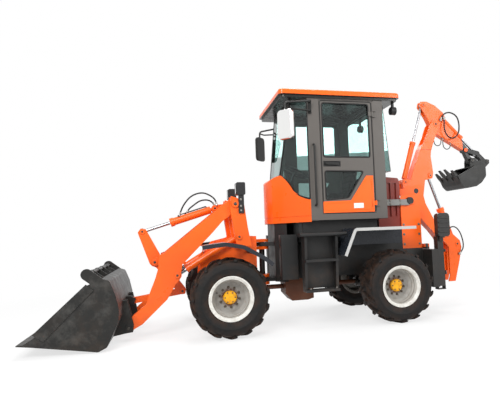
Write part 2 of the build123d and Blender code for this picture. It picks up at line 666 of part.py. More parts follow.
def backhoe_mount():
    back = BEAM_FRONT + 5
    guard = plate([(MOUNT_X, 920), (back, 920), (back, GUARD_TOP_Z - 180),
                   (back + 15, GUARD_TOP_Z), (MOUNT_X - 20, GUARD_TOP_Z),
                   (MOUNT_X, GUARD_TOP_Z - 40)], GUARD_Y - PLATE, GUARD_Y)
    dark = plate([(MOUNT_X, 600), (BEAM_FRONT, 400), (BEAM_FRONT, 921), (MOUNT_X, 921)],
                 GUARD_Y - PLATE, GUARD_Y)
    shape = both(guard + dark)
    inside = GUARD_Y - PLATE
    shape += block(MOUNT_X - PLATE, MOUNT_X - GAP, -inside, inside, 560, 1300)
    shape += block(BEAM_BACK, BEAM_FRONT, -BEAM_HALF, BEAM_HALF, 520, BEAM_TOP_Z)
    shape += both(block(BEAM_BACK, BEAM_FRONT, inside, BEAM_HALF, 380, 530))
    for low, high in SWING_EARS:
        ear = outline([(BEAM_BACK + 5, -130), (SWING_X, -62), (SWING_X, 62),
                       (BEAM_BACK + 5, 130)])
        shape += extrude(Plane.XY.offset(low) * ear, high - low)
        shape += Pos(SWING_X, 0, low) * Cylinder(62, high - low, align=UP)
    low = SWING_EARS[1][0] - 15
    shape += Pos(SWING_X, 0, low) * Cylinder(SWING_PIN_R, SWING_EARS[0][1] + 15 - low, align=UP)
    # Ears either side of each stabilizer leg and of its cylinder, with their pins.
    for (y, z), low_z, half in ((LEG_PIVOT, 349, LEG_HALF), (LEG_RAM_BASE, BEAM_TOP_Z - 60, EYE / 2)):
        reach = half + 4
        web = block(LEG_X + reach, BEAM_BACK + 5, y - 40, y + 40, low_z, min(z + 60, BEAM_TOP_Z))
        near = block(LEG_X + reach, LEG_X + reach + EAR, y - 40, y + 34, low_z, z + 34)
        far = block(LEG_X - reach - EAR, LEG_X - reach, y - 40, y + 34, low_z, z + 34)
        pin = Plane(origin=(LEG_X - reach - EAR, y, z), z_dir=(1, 0, 0)) * Circle(18)
        shape += both(web + near + far + extrude(pin, 2 * (reach + EAR)))
        # A plate under the two ears ties the far one to the beam.
        shape += both(block(LEG_X - reach - EAR, BEAM_BACK + 5, y - 40, y + 40, low_z - EAR, low_z + 1))
    # Lock bracket from the cab's corner to the round boom lock.
    shape += both(disc(-487, 1600, 50, GUARD_Y - 5, GUARD_Y + 40))
    shape += both(block(-470, -60, GUARD_Y + 12, GUARD_Y + 32, 1535, 1620))
    return shape


# ---- Stabilizers --------------------------------------------------------------------------------
def stabilizer():
    """The left leg, folded up, with its pad: a channel that is open towards the machine."""
    y, z = LEG_PIVOT
    y_in, y_out = y - 36, y + 58
    top = 1075
    leg = block(LEG_X - LEG_HALF, LEG_X + LEG_HALF, y_in, y_out, z - 42, top)
    leg -= block(LEG_X - LEG_HALF + EAR, LEG_X + LEG_HALF - EAR, y_in - 1, y_out - EAR, z - 43,
                 top - 150)
    across = Rot(0, 90, 0)
    leg -= Pos(LEG_X, y, z) * across * Cylinder(18 + GAP, 200)
    pad = block(LEG_X - 95, LEG_X + 95, y_out + 20, y_out + 105, 1072, 1400)
    pad = fillet(pad.edges().filter_by(Axis.Y), 55)
    for z in (1140, 1205, 1270, 1335):
        pad += block(LEG_X - 84, LEG_X + 84, y_out + 100, y_out + 118, z - 9, z + 9)
    neck = block(LEG_X - 30, LEG_X + 30, y_in + 20, y_out + 30, top - 60, 1180)
    for sign in (1, -1):
        stub = Plane(origin=(LEG_X + sign * (EYE / 2 + 2), *LEG_PIN), z_dir=(sign, 0, 0))
        leg += extrude(stub * Circle(18), LEG_HALF - EYE / 2)
    return leg + neck + pad


def across_ram(base, tip, barrel_r, rod_r, barrel_length, tail, eye_width, pin_r):
    """A cylinder in the plane across the machine: base and tip are (y, z) and it stands at LEG_X."""
    parts = ram(base, tip, 0, barrel_r, rod_r, barrel_length, tail, eye_width, pin_r)
    turn = Pos(LEG_X, 0, 0) * Rot(0, 0, 90)
    return [turn * part for part in parts]


# ---- Backhoe ------------------------------------------------------------------------------------
POST_PIN = (SWING_X + 10, 1055)                      # the boom's foot pin on the swing post
BOOM_TIP = (POST_PIN[0] + 5, POST_PIN[1] + 1745)     # the dipper's pivot
BOOM_HALF = 75
LUG_PIN = (POST_PIN[0] + 156, POST_PIN[1] + 944)     # the boom cylinder's rod pin
BOOM_BASE = (POST_PIN[0] - 225, POST_PIN[1] - 115)   # the boom cylinder's base pin
STICK_BASE = (POST_PIN[0] + 575, POST_PIN[1] + 845)  # the dipper cylinder's pin on the boom
STICK_PIN = (BOOM_TIP[0] + 188, BOOM_TIP[1] + 296)   # its rod pin on the dipper
DIPPER_TIP = (BOOM_TIP[0] - 617, BOOM_TIP[1] - 570)  # the bucket's pin
CURL_BASE = (BOOM_TIP[0] - 140, BOOM_TIP[1] + 125)   # the bucket cylinder's pin on the dipper
CURL_PIN = (DIPPER_TIP[0] - 118, DIPPER_TIP[1] + 120)      # its rod pin, where both links meet
TIP_LINK_PIN = (DIPPER_TIP[0] + 97, DIPPER_TIP[1] + 170)   # the tipping links' dipper pin
EAR_PIN = (DIPPER_TIP[0] - 263, DIPPER_TIP[1] - 15)        # the push link's bucket pin
EYE = 44                     # width of a cylinder's eye
SLOT = EYE / 2 + 2           # from the middle to a fork plate's inner face
DIPPER_HALF = 52
DIPPER_END_HALF = 40
BUCKET_HALF = 250            # half the backhoe bucket's width
BUCKET_EAR = (62, 82)        # inner and outer face of a bucket ear


def swing_post():
    low, high = SWING_EARS[1][1] + RUNNING, SWING_EARS[0][0] - RUNNING
    cheek_in = BOOM_HALF + 11
    cheek_out = cheek_in + PLATE
    shape = Pos(SWING_X, 0, low) * Cylinder(58, high - low, align=UP)
    shape += block(SWING_X - 115, SWING_X - 40, -cheek_in - 1, cheek_in + 1, low, high)
    shape -= Pos(SWING_X, 0, low - 1) * Cylinder(SWING_PIN_R + GAP, high - low + 2, align=UP)
    cheek = plate(shifted([(53, -20), (-5, -70), (-75, -155), (-75, -585), (-47, -675),
                   (-160, -675), (-250, -365), (-295, -165), (-275, -65), (-115, 75),
                   (-30, 63), (45, 40)], *POST_PIN), cheek_in, cheek_out)
    shape += both(cheek)
    shape += both(disc(*POST_PIN, 62, BOOM_HALF + RUNNING, cheek_out))
    shape += disc(*POST_PIN, 26, -cheek_in - 1, cheek_in + 1)
    shape += disc(*BOOM_BASE, 22, -cheek_in - 1, cheek_in + 1)
    return shape


BOOM_OUTLINE = [
    (-57, 0), (133, 273), (260, 521), (285, 637), (244, 870), (115, 900),
    (97, 985), (124, 1238), (113, 1318), (51, 1489), (-61, 1715), (-35, 1795),
    (55, 1795), (112, 1717), (173, 1556), (287, 1350), (417, 1057), (485, 870),
    (535, 890), (605, 885), (625, 825), (615, 745), (681, 738), (684, 650),
    (575, 640), (535, 505), (365, 303), (171, 101), (55, -45),
]


def boom():
    shape = plate(shifted(BOOM_OUTLINE, *POST_PIN), -BOOM_HALF, BOOM_HALF)
    shape += disc(*POST_PIN, 60, -BOOM_HALF, BOOM_HALF)
    shape -= disc(*POST_PIN, 26 + GAP, -100, 100)
    shape += disc(*BOOM_TIP, 66, -BOOM_HALF, BOOM_HALF)
    # Slots for the eyes of the two cylinders.
    shape -= plate(shifted([(35, 845), (280, 845), (290, 1005), (55, 1035)], *POST_PIN), -SLOT, SLOT)
    shape -= plate(shifted([(510, 745), (645, 755), (675, 935), (465, 935)], *POST_PIN), -SLOT, SLOT)
    # Above its seam the boom is a fork that the dipper's head swings in.
    room = DIPPER_HALF + RUNNING
    shape -= plate(shifted([(-230, -360), (470, -300), (470, 190), (-230, 190)], *BOOM_TIP), -room, room)
    shape += disc(*STICK_BASE, 20, -BOOM_HALF, BOOM_HALF)
    shape += disc(*BOOM_TIP, 28, -BOOM_HALF, BOOM_HALF)
    shape += both(disc(*LUG_PIN, 22, SLOT, BOOM_HALF + 8))
    return shape


DIPPER_OUTLINE = [
    (240, 280), (220, 350), (127, 355), (-29, 292), (-70, 210), (-86, 100),
    (-120, 88), (-470, -265), (-470, -400), (1, -135), (70, -30), (130, 100),
]
DIPPER_LUG = [(-20, 290), (-151, 191), (-182, 135), (-155, 88), (-70, 60)]
DIPPER_END = [
    (-430, -225), (-555, -350), (-575, -470), (-665, -545), (-660, -605), (-590, -610),
    (-502, -419), (-430, -375),
]


def dipper():
    """Box-section stick with a slotted head, a slim cast end and lugs for the bucket cylinder."""
    shape = plate(shifted(DIPPER_OUTLINE, *BOOM_TIP), -DIPPER_HALF, DIPPER_HALF)
    shape += disc(*BOOM_TIP, 64, -DIPPER_HALF, DIPPER_HALF)
    shape += plate(shifted(DIPPER_END, *BOOM_TIP), -DIPPER_END_HALF, DIPPER_END_HALF)
    shape += disc(*DIPPER_TIP, 42, -DIPPER_END_HALF, DIPPER_END_HALF)
    shape -= disc(*DIPPER_TIP, 24 + GAP, -100, 100)
    shape -= disc(*BOOM_TIP, 28 + GAP, -100, 100)
    shape += both(plate(shifted(DIPPER_LUG, *BOOM_TIP), SLOT, DIPPER_HALF))
    shape += disc(*CURL_BASE, 18, -DIPPER_HALF, DIPPER_HALF)
    shape -= plate(shifted([(270, 130), (270, 400), (85, 400), (85, 190), (150, 130)], *BOOM_TIP),
                   -SLOT, SLOT)
    shape += both(disc(*STICK_PIN, 20, SLOT, DIPPER_HALF + 2))
    shape += disc(*TIP_LINK_PIN, 18, -DIPPER_END_HALF - 20, DIPPER_END_HALF + 20)
    return shape


def tipping_links():
    """The pair of links from the dipper to the bucket cylinder's rod pin."""
    inner = DIPPER_END_HALF + RUNNING
    outer = inner + EAR
    link = link_plate(TIP_LINK_PIN, CURL_PIN, 34, inner, outer)
    link -= disc(*TIP_LINK_PIN, 18 + GAP, inner - 1, outer + 1)
    return pair(link)


def link_plate(start, end, radius, inner, outer):
    """A link with round ends between two pins."""
    along = degrees(atan2(end[1] - start[1], end[0] - start[0]))
    length = hypot(end[0] - start[0], end[1] - start[1])
    middle = ((start[0] + end[0]) / 2, (start[1] + end[1]) / 2)
    face = Pos(*middle) * Rot(0, 0, along) * SlotCenterToCenter(length, 2 * radius)
    return from_side(face, inner, outer)


def push_link():
    """The fork-shaped link from the rod pin to the bucket's ears."""
    inner = SLOT + 2
    outer = DIPPER_END_HALF
    side = link_plate(EAR_PIN, CURL_PIN, 32, inner, outer)
    shape = both(side)
    shape += disc(*EAR_PIN, 32, -outer, outer)
    shape -= disc(*EAR_PIN, 20 + GAP, -100, 100)
    return shape


BUCKET_BACK = [(87, -102), (-98, -84), (-97, -267), (-11, -368), (85, -424),
               (280, -455), (347, -390), (402, -265)]


def backhoe_bucket():
    """Shell bent from sheet, two cheeks, the hinge ears, and four teeth on the lip."""
    skin = 14
    path = shifted(BUCKET_BACK, *DIPPER_TIP)
    shell = sheet(path, -skin, -BUCKET_HALF, BUCKET_HALF, 60)
    edge = FilletPolyline(*path, radius=60)
    cheek = from_side(make_face(Curve() + [edge, Line(edge @ 1, edge @ 0)]), BUCKET_HALF - skin, BUCKET_HALF)
    shape = shell + both(cheek)
    inner, outer = BUCKET_EAR
    ear = plate(shifted([(42, -15), (42, -95), (-103, -180), (-178, -150), (-301, -40),
                 (-301, 15), (-243, 22), (-83, -5), (-43, 42), (27, 42)], *DIPPER_TIP),
                inner, outer, 12)
    shape += both(ear)
    shape += disc(*DIPPER_TIP, 24, -outer, outer)
    shape += disc(*EAR_PIN, 20, -outer, outer)
    # The teeth carry on from the lip.
    lip, heel = path[-1], path[-2]
    angle = degrees(atan2(lip[1] - heel[1], lip[0] - heel[0])) - 18
    for y in (-210, -70, 70, 210):
        length = 165 if abs(y) < 100 else 120
        tooth = outline([(-70, -22), (length * 0.4, -20), (length, -4), (length, 4),
                         (length * 0.4, 20), (-70, 22)])
        tooth = Pos(lip[0], lip[1]) * Rot(0, 0, angle) * tooth
        shape += from_side(tooth, y - 26, y + 26)
    return shape


# ---- Front frame --------------------------------------------------------------------------------
KEEL_HALF = 260          # outer face of the front frame's long plates
TOWER_HALF = 450         # outer face of the loader tower's outer plates
TOWER_WALL = 25
ARM_PIVOT = (FRONT_X - 139, 1600)
ARM_PIN_R = 36
LIFT_BASE = (FRONT_X - 179, 1180)
TILT_BASE = (FRONT_X + 81, 1574)
FRONT_EARS = [(1095, 1135), (995, 1035), (615, 655), (515, 555)]
LIFT_Y = 306
ARM_IN, ARM_OUT = 350, 410


def front_frame():
    f = FRONT_X
    inner = KEEL_HALF - TOWER_WALL
    foot = SADDLE_Z + 10
    keel = plate([(f - 410, foot - 20), (f - 410, 1180), (f - 300, 1190), (f - 293, 1287),
                  (f - 247, 1648), (f - 88, 1702), (f - 60, 1560), (f - 100, 1178), (f + 120, 1130),
                  (f + 300, 940), (f + 320, 640), (f + 250, foot), (f - 300, foot)],
                 inner, KEEL_HALF)
    tower = plate([(f - 337, 1056), (f - 293, 1287), (f - 247, 1648), (f - 88, 1702),
                   (f - 70, 1560), (f - 120, 1178), (f - 150, 1056)],
                  TOWER_HALF - TOWER_WALL, TOWER_HALF)
    shape = both(keel + tower)
    shape += both(block(f - 335, f - 120, inner, TOWER_HALF, 1056, 1080))
    # Cross members: rear plate with the hinge ears, floor, tower beam.
    shape += block(f - 430, f - 400, -KEEL_HALF, KEEL_HALF, 540, 1180)
    shape += block(f + 240, f + 265, -inner, inner, 600, 900)
    shape += block(f - 240, f - 110, -inner, inner, 1480, 1640)
    shape += block(f - 400, f + 250, -inner, inner, 1000, 1020)
    for low, high in FRONT_EARS:
        ear = outline([(f - 405, -HINGE_HALF), (HINGE_X, -95), (HINGE_X, 95),
                       (f - 405, HINGE_HALF)])
        shape += extrude(Plane.XY.offset(low) * ear, high - low)
        shape += Pos(HINGE_X, 0, low) * Cylinder(95, high - low, align=UP)
        shape -= Pos(HINGE_X, 0, low - 1) * Cylinder(HINGE_PIN_R + GAP, high - low + 2, align=UP)
    # Ears for the tilt cylinder.
    ear = plate([(f - 120, 1490), (f - 120, 1635), (f + 70, 1620), (f + 125, 1590),
                 (f + 115, 1530), (f + 70, 1515)], SLOT + 2, SLOT + 2 + PLATE)
    shape += both(ear)
    shape += disc(*TILT_BASE, 22, -SLOT - 2 - PLATE, SLOT + 2 + PLATE)
    # Pins between the tower's plates, and the axle saddles.
    for x, z, r in ((*ARM_PIVOT, ARM_PIN_R), (*LIFT_BASE, 24)):
        shape += both(disc(x, z, r, inner, TOWER_HALF + 12))
        shape += both(disc(x, z, r + 24, inner - 10, inner + 1))
    shape += both(block(f - 110, f + 110, inner - 30, KEEL_HALF, SADDLE_Z, SADDLE_Z + 50))
    return shape


def front_fenders():
    """A bent sheet over each front tyre, on two brackets from the tower's foot."""
    f = FRONT_X
    arch = [(f + 321, 1096), (f + 41, 1124), (f - 169, 1081), (f - 399, 951), (f - 519, 856)]
    skin = sheet(arch, SHEET, FENDER_IN - 34, FENDER_OUT, 120)
    skin += sheet(arch, FENDER_LIP + 10, FENDER_OUT - SHEET, FENDER_OUT, 120)
    stays = Part()
    stays += block(f - 110, f - 70, TOWER_HALF + GAP, FENDER_IN + 60, 1064, 1092)
    stays += block(f - 335, f - 295, KEEL_HALF + GAP, FENDER_IN + 60, 965, 1000)
    return pair(skin + stays)


def headlights():
    f = FRONT_X
    box = block(f - 269, f - 154, TOWER_HALF - 90, TOWER_HALF + 40, 1712, 1874)
    box = fillet(box.edges().filter_by(Axis.Y), 18)
    stem = block(f - 250, f - 180, TOWER_HALF + GAP, TOWER_HALF + 26, 1480, 1720)
    return pair(box + stem)


# ---- Loader -------------------------------------------------------------------------------------
LIFT_PIN = (ARM_PIVOT[0] + 734, ARM_PIVOT[1] - 865)
ARM_TIP = (ARM_PIVOT[0] + 1310, ARM_PIVOT[1] - 1450)
ROCKER_PIVOT = (ARM_PIVOT[0] + 1010, ARM_PIVOT[1] - 707)
ROCKER_TOP = (ARM_PIVOT[0] + 1157, ARM_PIVOT[1] - 308)
ROCKER_LOW = (ARM_PIVOT[0] + 670, ARM_PIVOT[1] - 1100)
LINK_PIN = (ARM_PIVOT[0] + 1284, ARM_PIVOT[1] - 1180)
CROSS_TUBE = (ARM_PIVOT[0] + 758, ARM_PIVOT[1] - 644)
BUCKET_WIDTH = 1800
ROCKER_IN, ROCKER_OUT = 26, 48

ARM_OUTLINE = [  # from the pivot, x and z
    (75, 56), (891, -588), (941, -604), (958, -761), (997, -889), (1072, -1077), (1108, -1190),
    (1249, -1301), (1360, -1430), (1310, -1506), (1152, -1422), (858, -1148), (756, -973),
    (700, -910), (671, -735), (295, -359), (166, -217), (-60, -50),
]


def loader_arms():
    x, z = ARM_PIVOT
    arm = plate(shifted(ARM_OUTLINE, x, z), ARM_IN, ARM_OUT)
    arm += disc(x, z, 78, ARM_IN, ARM_OUT)
    arm += disc(*LIFT_PIN, 52, ARM_IN, ARM_OUT)
    arm += disc(*ARM_TIP, 56, ARM_IN, ARM_OUT)
    arm += disc(*LIFT_PIN, 24, ARM_IN - 12, ARM_OUT + 8)
    arm -= disc(x, z, ARM_PIN_R + GAP, 0, 1000)
    arm -= disc(*ARM_TIP, 28 + GAP, 0, 1000)
    shape = both(arm)
    shape += disc(*CROSS_TUBE, 55, -ARM_IN - 1, ARM_IN + 1)
    px, pz = ROCKER_PIVOT
    tx, tz = CROSS_TUBE
    ear = plate([(tx, tz + 58), (px + 10, pz + 52), (px + 52, pz + 5), (px + 10, pz - 50),
                 (tx - 10, tz - 54), (tx - 52, tz - 10)],
                ROCKER_OUT + RUNNING, ROCKER_OUT + RUNNING + PLATE)
    shape += both(ear)
    reach = ROCKER_OUT + RUNNING + PLATE
    shape += disc(*ROCKER_PIVOT, 28, -reach, reach)
    return shape


def rocker():
    """Two curved plates on one boss, with the cylinder's and the link's eyes between them."""
    px, pz = ROCKER_PIVOT
    side = plate([(ROCKER_TOP[0] - 40, ROCKER_TOP[1] + 30), (ROCKER_TOP[0] + 20, ROCKER_TOP[1] + 45),
                  (ROCKER_TOP[0] + 58, ROCKER_TOP[1] - 10), (px + 62, pz - 20), (px - 20, pz - 75),
                  (ROCKER_LOW[0] + 35, ROCKER_LOW[1] - 40), (ROCKER_LOW[0] - 35, ROCKER_LOW[1] - 40),
                  (ROCKER_LOW[0] - 45, ROCKER_LOW[1] + 25), (px - 95, pz + 40)],
                 ROCKER_IN, ROCKER_OUT, 20)
    for x, z, r in ((*ROCKER_TOP, 22), (*ROCKER_LOW, 24)):
        side += disc(x, z, r, ROCKER_IN, ROCKER_OUT + 4)
    shape = both(side)
    shape += disc(px, pz, 58, -ROCKER_OUT, ROCKER_OUT)
    shape -= disc(px, pz, 28 + GAP, -100, 100)
    return shape


def bucket_link():
    half = ROCKER_IN - 2
    shape = link_plate(LINK_PIN, ROCKER_LOW, 40, -half, half)
    shape -= disc(*LINK_PIN, 24 + GAP, -100, 100)
    shape -= disc(*ROCKER_LOW, 24 + GAP, -100, 100)
    return shape


BUCKET_PATH = [  # from the arm's tip pin: cutting edge, heel, back, top lip
    (1000, 0), (270, -128), (190, -90), (140, 20), (72, 180), (68, 300), (105, 460), (160, 600),
    (235, 625),
]
GUARD_ROOT = (215, 560)  # the spill guard's arms lean forward from here, over the load
GUARD_TIP = (378, 690)
GUARD_RIBS = (-540, -180, 180, 540)


def loader_bucket():
    """Sheet shell with cheeks, a bolt-on edge, side straps, an open spill guard and hinge ears."""
    x, z = ARM_TIP
    skin = 14
    half = BUCKET_WIDTH / 2
    path = shifted(BUCKET_PATH, x, z)
    shape = sheet(path, -skin, -half, half, 24)
    cheek = plate(path + shifted([(365, 580), (900, 60)], x, z), half - skin, half)
    strap = plate(shifted([(800, 20), (905, 98), (385, 586), (307, 519)], x, z), half - 1, half + 14)
    shape += both(cheek + strap)
    edge = plate(shifted([(880, -34), (1060, -8), (1060, 2), (880, 4)], x, z), -half, half)
    shape += edge
    # The spill guard: round-ended arms on the cheeks, ribs between them, and a bar along the top.
    root, tip = shifted([GUARD_ROOT, GUARD_TIP], x, z)
    shape += both(link_plate(root, tip, 60, half - skin - 10, half))
    shape += disc(*tip, 26, 1 - half, half - 1)
    for y in GUARD_RIBS:
        shape += link_plate(root, tip, 30, y - skin / 2, y + skin / 2)
        shape += plate([path[-3], path[-2], path[-1], tip, root], y - skin / 2, y + skin / 2)
    # Ears for the arms, and a pair in the middle for the link.
    ear = shifted([(-50, -50), (30, -58), (192, -84), (142, 22), (76, 182), (72, 300), (76, 330),
                   (10, 330), (-60, 40)], x, z)
    for y_from in (ARM_IN - RUNNING - PLATE, ARM_OUT + RUNNING):
        shape += both(plate(ear, y_from, y_from + PLATE))
    shape += both(disc(x, z, 28, ARM_IN - RUNNING - PLATE, ARM_OUT + RUNNING + PLATE))
    link_ear = shifted([(-60, 300), (0, 330), (76, 330), (72, 300), (74, 185), (-30, 210)], x, z)
    shape += both(plate(link_ear, ROCKER_IN + 2, ROCKER_IN + 2 + PLATE))
    shape += disc(*LINK_PIN, 24, -ROCKER_IN - 2 - PLATE, ROCKER_IN + 2 + PLATE)
    return shape


# ---- All pieces ---------------------------------------------------------------------------------
RAMS = [  # name, base, tip, barrel radius, rod radius, barrel length, rod's tail, pin radius
    ("tilt", TILT_BASE, ROCKER_TOP, 50, 21, 612, 400, 22),
    ("boom", BOOM_BASE, LUG_PIN, 50, 21, 590, 510, 22),
    ("dipper", STICK_BASE, STICK_PIN, 40, 20, 650, 606, 20),
    ("bucket", CURL_BASE, CURL_PIN, 36, 18, 480, 400, 18),
]


def main():
    make_wheels()
    save("rear_axle", axle(0, 1, FRAME_HALF - 45))
    save("front_axle", axle(FRONT_X, -1, KEEL_HALF - 38) + shaft(HINGE_X - 26, FRONT_X - PINION + 1))
    for builder in (rear_frame, engine_block, drive_line, rear_hood, rear_fenders,
                    cab_steps, side_boxes, cab_body, door, cowl, roof, seat, console, mirrors,
                    lamps, backhoe_mount, swing_post, boom, dipper, tipping_links, push_link,
                    backhoe_bucket, front_frame, front_fenders, headlights, loader_arms, rocker,
                    bucket_link, loader_bucket):
        save(builder.__name__, builder())
    glass = door_glass()
    save("door_glass", glass)
    save("right_panel", mirror(door_leaf(GAP), about=Plane.XZ))
    fixed = mirror(glass, about=Plane.XZ).solids()
    save("cab_glass", Compound(children=[*cab_glass().solids(), *fixed]))
    for name, base, tip, barrel_r, rod_r, length, tail, pin_r in RAMS:
        barrel, rod = ram(base, tip, 0, barrel_r, rod_r, length, tail, EYE, pin_r)
        save(f"{name}_barrel", barrel)
        save(f"{name}_rod", rod)
    barrel, rod = ram(LIFT_BASE, LIFT_PIN, LIFT_Y, 43, 25, 765, 150, 60, 24)
    save("lift_barrels", pair(barrel))
    save("lift_rods", pair(rod))
    leg = stabilizer()
    barrel, rod = across_ram(LEG_RAM_BASE, LEG_PIN, 26, 16, 406, 74, EYE, 18)
    for name, shape in (("leg", leg), ("leg_barrel", barrel), ("leg_rod", rod)):
        save(f"{name}_left", shape)
        save(f"{name}_right", mirror(shape, about=Plane.XZ))


main()
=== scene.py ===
import json
from math import cos, pi, radians, sin

import bmesh
import bpy
from mathutils import Matrix, Vector


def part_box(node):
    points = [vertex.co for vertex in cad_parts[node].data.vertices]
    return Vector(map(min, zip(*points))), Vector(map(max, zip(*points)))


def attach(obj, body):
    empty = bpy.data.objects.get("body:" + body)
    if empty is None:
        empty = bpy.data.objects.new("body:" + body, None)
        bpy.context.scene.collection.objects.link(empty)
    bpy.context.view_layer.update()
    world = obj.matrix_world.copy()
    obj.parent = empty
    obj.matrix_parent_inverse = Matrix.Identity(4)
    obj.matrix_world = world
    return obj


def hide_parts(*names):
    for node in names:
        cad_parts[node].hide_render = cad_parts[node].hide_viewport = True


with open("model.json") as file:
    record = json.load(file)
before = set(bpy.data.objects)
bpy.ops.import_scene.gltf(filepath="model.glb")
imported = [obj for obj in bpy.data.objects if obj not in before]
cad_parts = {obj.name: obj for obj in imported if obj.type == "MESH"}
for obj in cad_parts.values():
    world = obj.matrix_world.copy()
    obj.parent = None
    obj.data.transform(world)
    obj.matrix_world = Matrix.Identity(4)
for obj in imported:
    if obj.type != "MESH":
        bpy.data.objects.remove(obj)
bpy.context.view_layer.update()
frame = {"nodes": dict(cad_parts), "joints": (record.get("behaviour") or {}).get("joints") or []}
NODES = frame["nodes"]
WHEELS = ("front_left", "front_right", "rear_left", "rear_right")
PINS = {joint["name"]: Vector(joint.get("pos_m", (0, 0, 0))) for joint in frame["joints"]}

# Places below are given as in the part's own drawing: metres from the rear axle along the machine,
# to the left of its middle, and above the ground. at() turns them into the frame's coordinates.
REAR_AXLE_X = PINS["wheel_rear_left_spin"].x


def at(x, y, z):
    return Vector((REAR_AXLE_X + x, y, z))


# ---- Colours, linear ----------------------------------------------------------------------------
ORANGE = (0.90, 0.120, 0.008)
CAB_GREY = (0.095, 0.086, 0.078)
CHASSIS_BLACK = (0.012, 0.012, 0.012)
TOOL_BLACK = (0.012, 0.012, 0.011)
FENDER_BLACK = (0.016, 0.019, 0.025)
LEG_GREY = (0.022, 0.021, 0.020)
BRACKET_GREY = (0.20, 0.20, 0.19)
# silver painted along the rear fenders' lip as a highlight
LIP_HIGHLIGHT_SILVER = (0.42, 0.42, 0.41)
RIM_WHITE = (0.66, 0.65, 0.61)
HUB_YELLOW = (0.80, 0.39, 0.008)
HUB_STAIN = (0.55, 0.22, 0.01)
RIM_GRIME = (0.24, 0.20, 0.16)
DISH_SHADE = (0.13, 0.115, 0.10)
RUST = (0.12, 0.035, 0.012)
# orange darkened to a dark red, painted on the rear hood as shade
HOOD_SHADED_ORANGE = (0.20, 0.016, 0.006)
RUBBER = (0.008, 0.008, 0.008)
EARTH = (0.075, 0.044, 0.026)
TREAD_EARTH = (0.060, 0.030, 0.018)
SCUFF_GREY = (0.075, 0.072, 0.066)
TINT = (0.40, 0.53, 0.51)

HUB_CAP_R = 0.0805


# ---- Shader building ----------------------------------------------------------------------------
class Graph:
    """A node tree, with short calls for the nodes used here."""

    def __init__(self, tree):
        self.nodes = tree.nodes
        self.links = tree.links

    def put(self, socket, value):
        if isinstance(value, bpy.types.NodeSocket):
            self.links.new(value, socket)
        elif isinstance(value, tuple) and len(value) == 3 and len(socket.default_value) == 4:
            socket.default_value = (*value, 1)
        else:
            socket.default_value = value

    def add(self, kind, inputs=None, **settings):
        node = self.nodes.new("ShaderNode" + kind)
        for key, value in settings.items():
            setattr(node, key, value)
        for key, value in (inputs or {}).items():
            self.put(node.inputs[key], value)
        return node

    def span(self, value, low, high, to_low=0.0, to_high=1.0):
        inputs = {"Value": value, "From Min": low, "From Max": high, "To Min": to_low,
                  "To Max": to_high}
        return self.add("MapRange", inputs).outputs["Result"]

    def calc(self, operation, first, second=0.0):
        return self.add("Math", {0: first, 1: second}, operation=operation).outputs[0]

    def seen_rays(self):
        """1 for camera, glossy and transmission rays, which see the backdrop as it is."""
        path = self.add("LightPath").outputs
        seen = self.calc("MAXIMUM", path["Is Camera Ray"], path["Is Glossy Ray"])
        return self.calc("MAXIMUM", seen, path["Is Transmission Ray"])


class Shader(Graph):
    """A material on Principled BSDF, its patterns laid out in the piece's own coordinates."""

    def __init__(self, name):
        self.material = bpy.data.materials.new(name)
        self.material.use_nodes = True
        super().__init__(self.material.node_tree)
        self.surface = self.nodes["Principled BSDF"]
        self.place = self.add("TexCoord").outputs["Object"]

    def noise(self, scale, detail=3.0, rough=0.5, place=None):
        inputs = {"Vector": place or self.place, "Scale": scale, "Detail": detail, "Roughness": rough}
        return self.add("TexNoise", inputs).outputs["Fac"]

    def mix(self, share, first, second):
        node = self.add("Mix", data_type="RGBA")
        self.put(node.inputs["Factor"], share)
        self.put(node.inputs[6], first)
        self.put(node.inputs[7], second)
        return node.outputs[2]

    def axes(self):
        split = self.add("SeparateXYZ", {0: self.place})
        return split.outputs[0], split.outputs[1], split.outputs[2]

    def radius_about(self, x, z):
        """The distance from a line that runs across the machine."""
        px, _, pz = self.axes()
        dx = self.calc("SUBTRACT", px, x)
        dz = self.calc("SUBTRACT", pz, z)
        squares = self.calc("MULTIPLY", dx, dx), self.calc("MULTIPLY", dz, dz)
        return self.calc("SQRT", self.calc("ADD", *squares))

    def stretched(self, scale):
        return self.add("Mapping", {"Vector": self.place, "Scale": scale}).outputs[0]

    def finish(self, color, rough, metallic=0.0, bump=None, depth=0.001, edge=0.003, **sockets):
        self.put(self.surface.inputs["Base Color"], color)
        self.put(self.surface.inputs["Roughness"], rough)
        self.put(self.surface.inputs["Metallic"], metallic)
        self.surface.inputs["Specular IOR Level"].default_value = 0.3
        for key, value in sockets.items():
            self.put(self.surface.inputs[key.replace("_", " ")], value)
        normal = None
        if edge:
            normal = self.add("Bevel", {"Radius": edge}, samples=4).outputs[0]
        if bump is not None:
            node = self.add("Bump", {"Height": bump, "Distance": depth, "Strength": 1.0})
            if normal:
                self.links.new(normal, node.inputs["Normal"])
            normal = node.outputs[0]
        if normal:
            self.links.new(normal, self.surface.inputs["Normal"])
        return self.material

    def sprayed(self, color, rough, **sockets):
        """Finish as sprayed paint: a thin clear coat, an uneven gloss and orange peel."""
        gloss = self.span(self.noise(9, 5), 0.3, 0.7, rough - 0.06, rough + 0.08)
        peel = self.noise(420, 2)
        return self.finish(color, gloss, bump=peel, depth=0.00025, Coat_Weight=0.10, **sockets)


def dusty(shader, color, most, low=0.15, high=1.1):
    """Lay earth over a colour: thick at height low and gone at height high, broken up by noise."""
    depth = shader.span(shader.axes()[2], high, low)
    patch = shader.span(shader.noise(7, 6, 0.62), 0.42, 0.68)
    share = shader.calc("MULTIPLY", shader.calc("MULTIPLY", depth, patch), most)
    return shader.mix(share, color, EARTH)


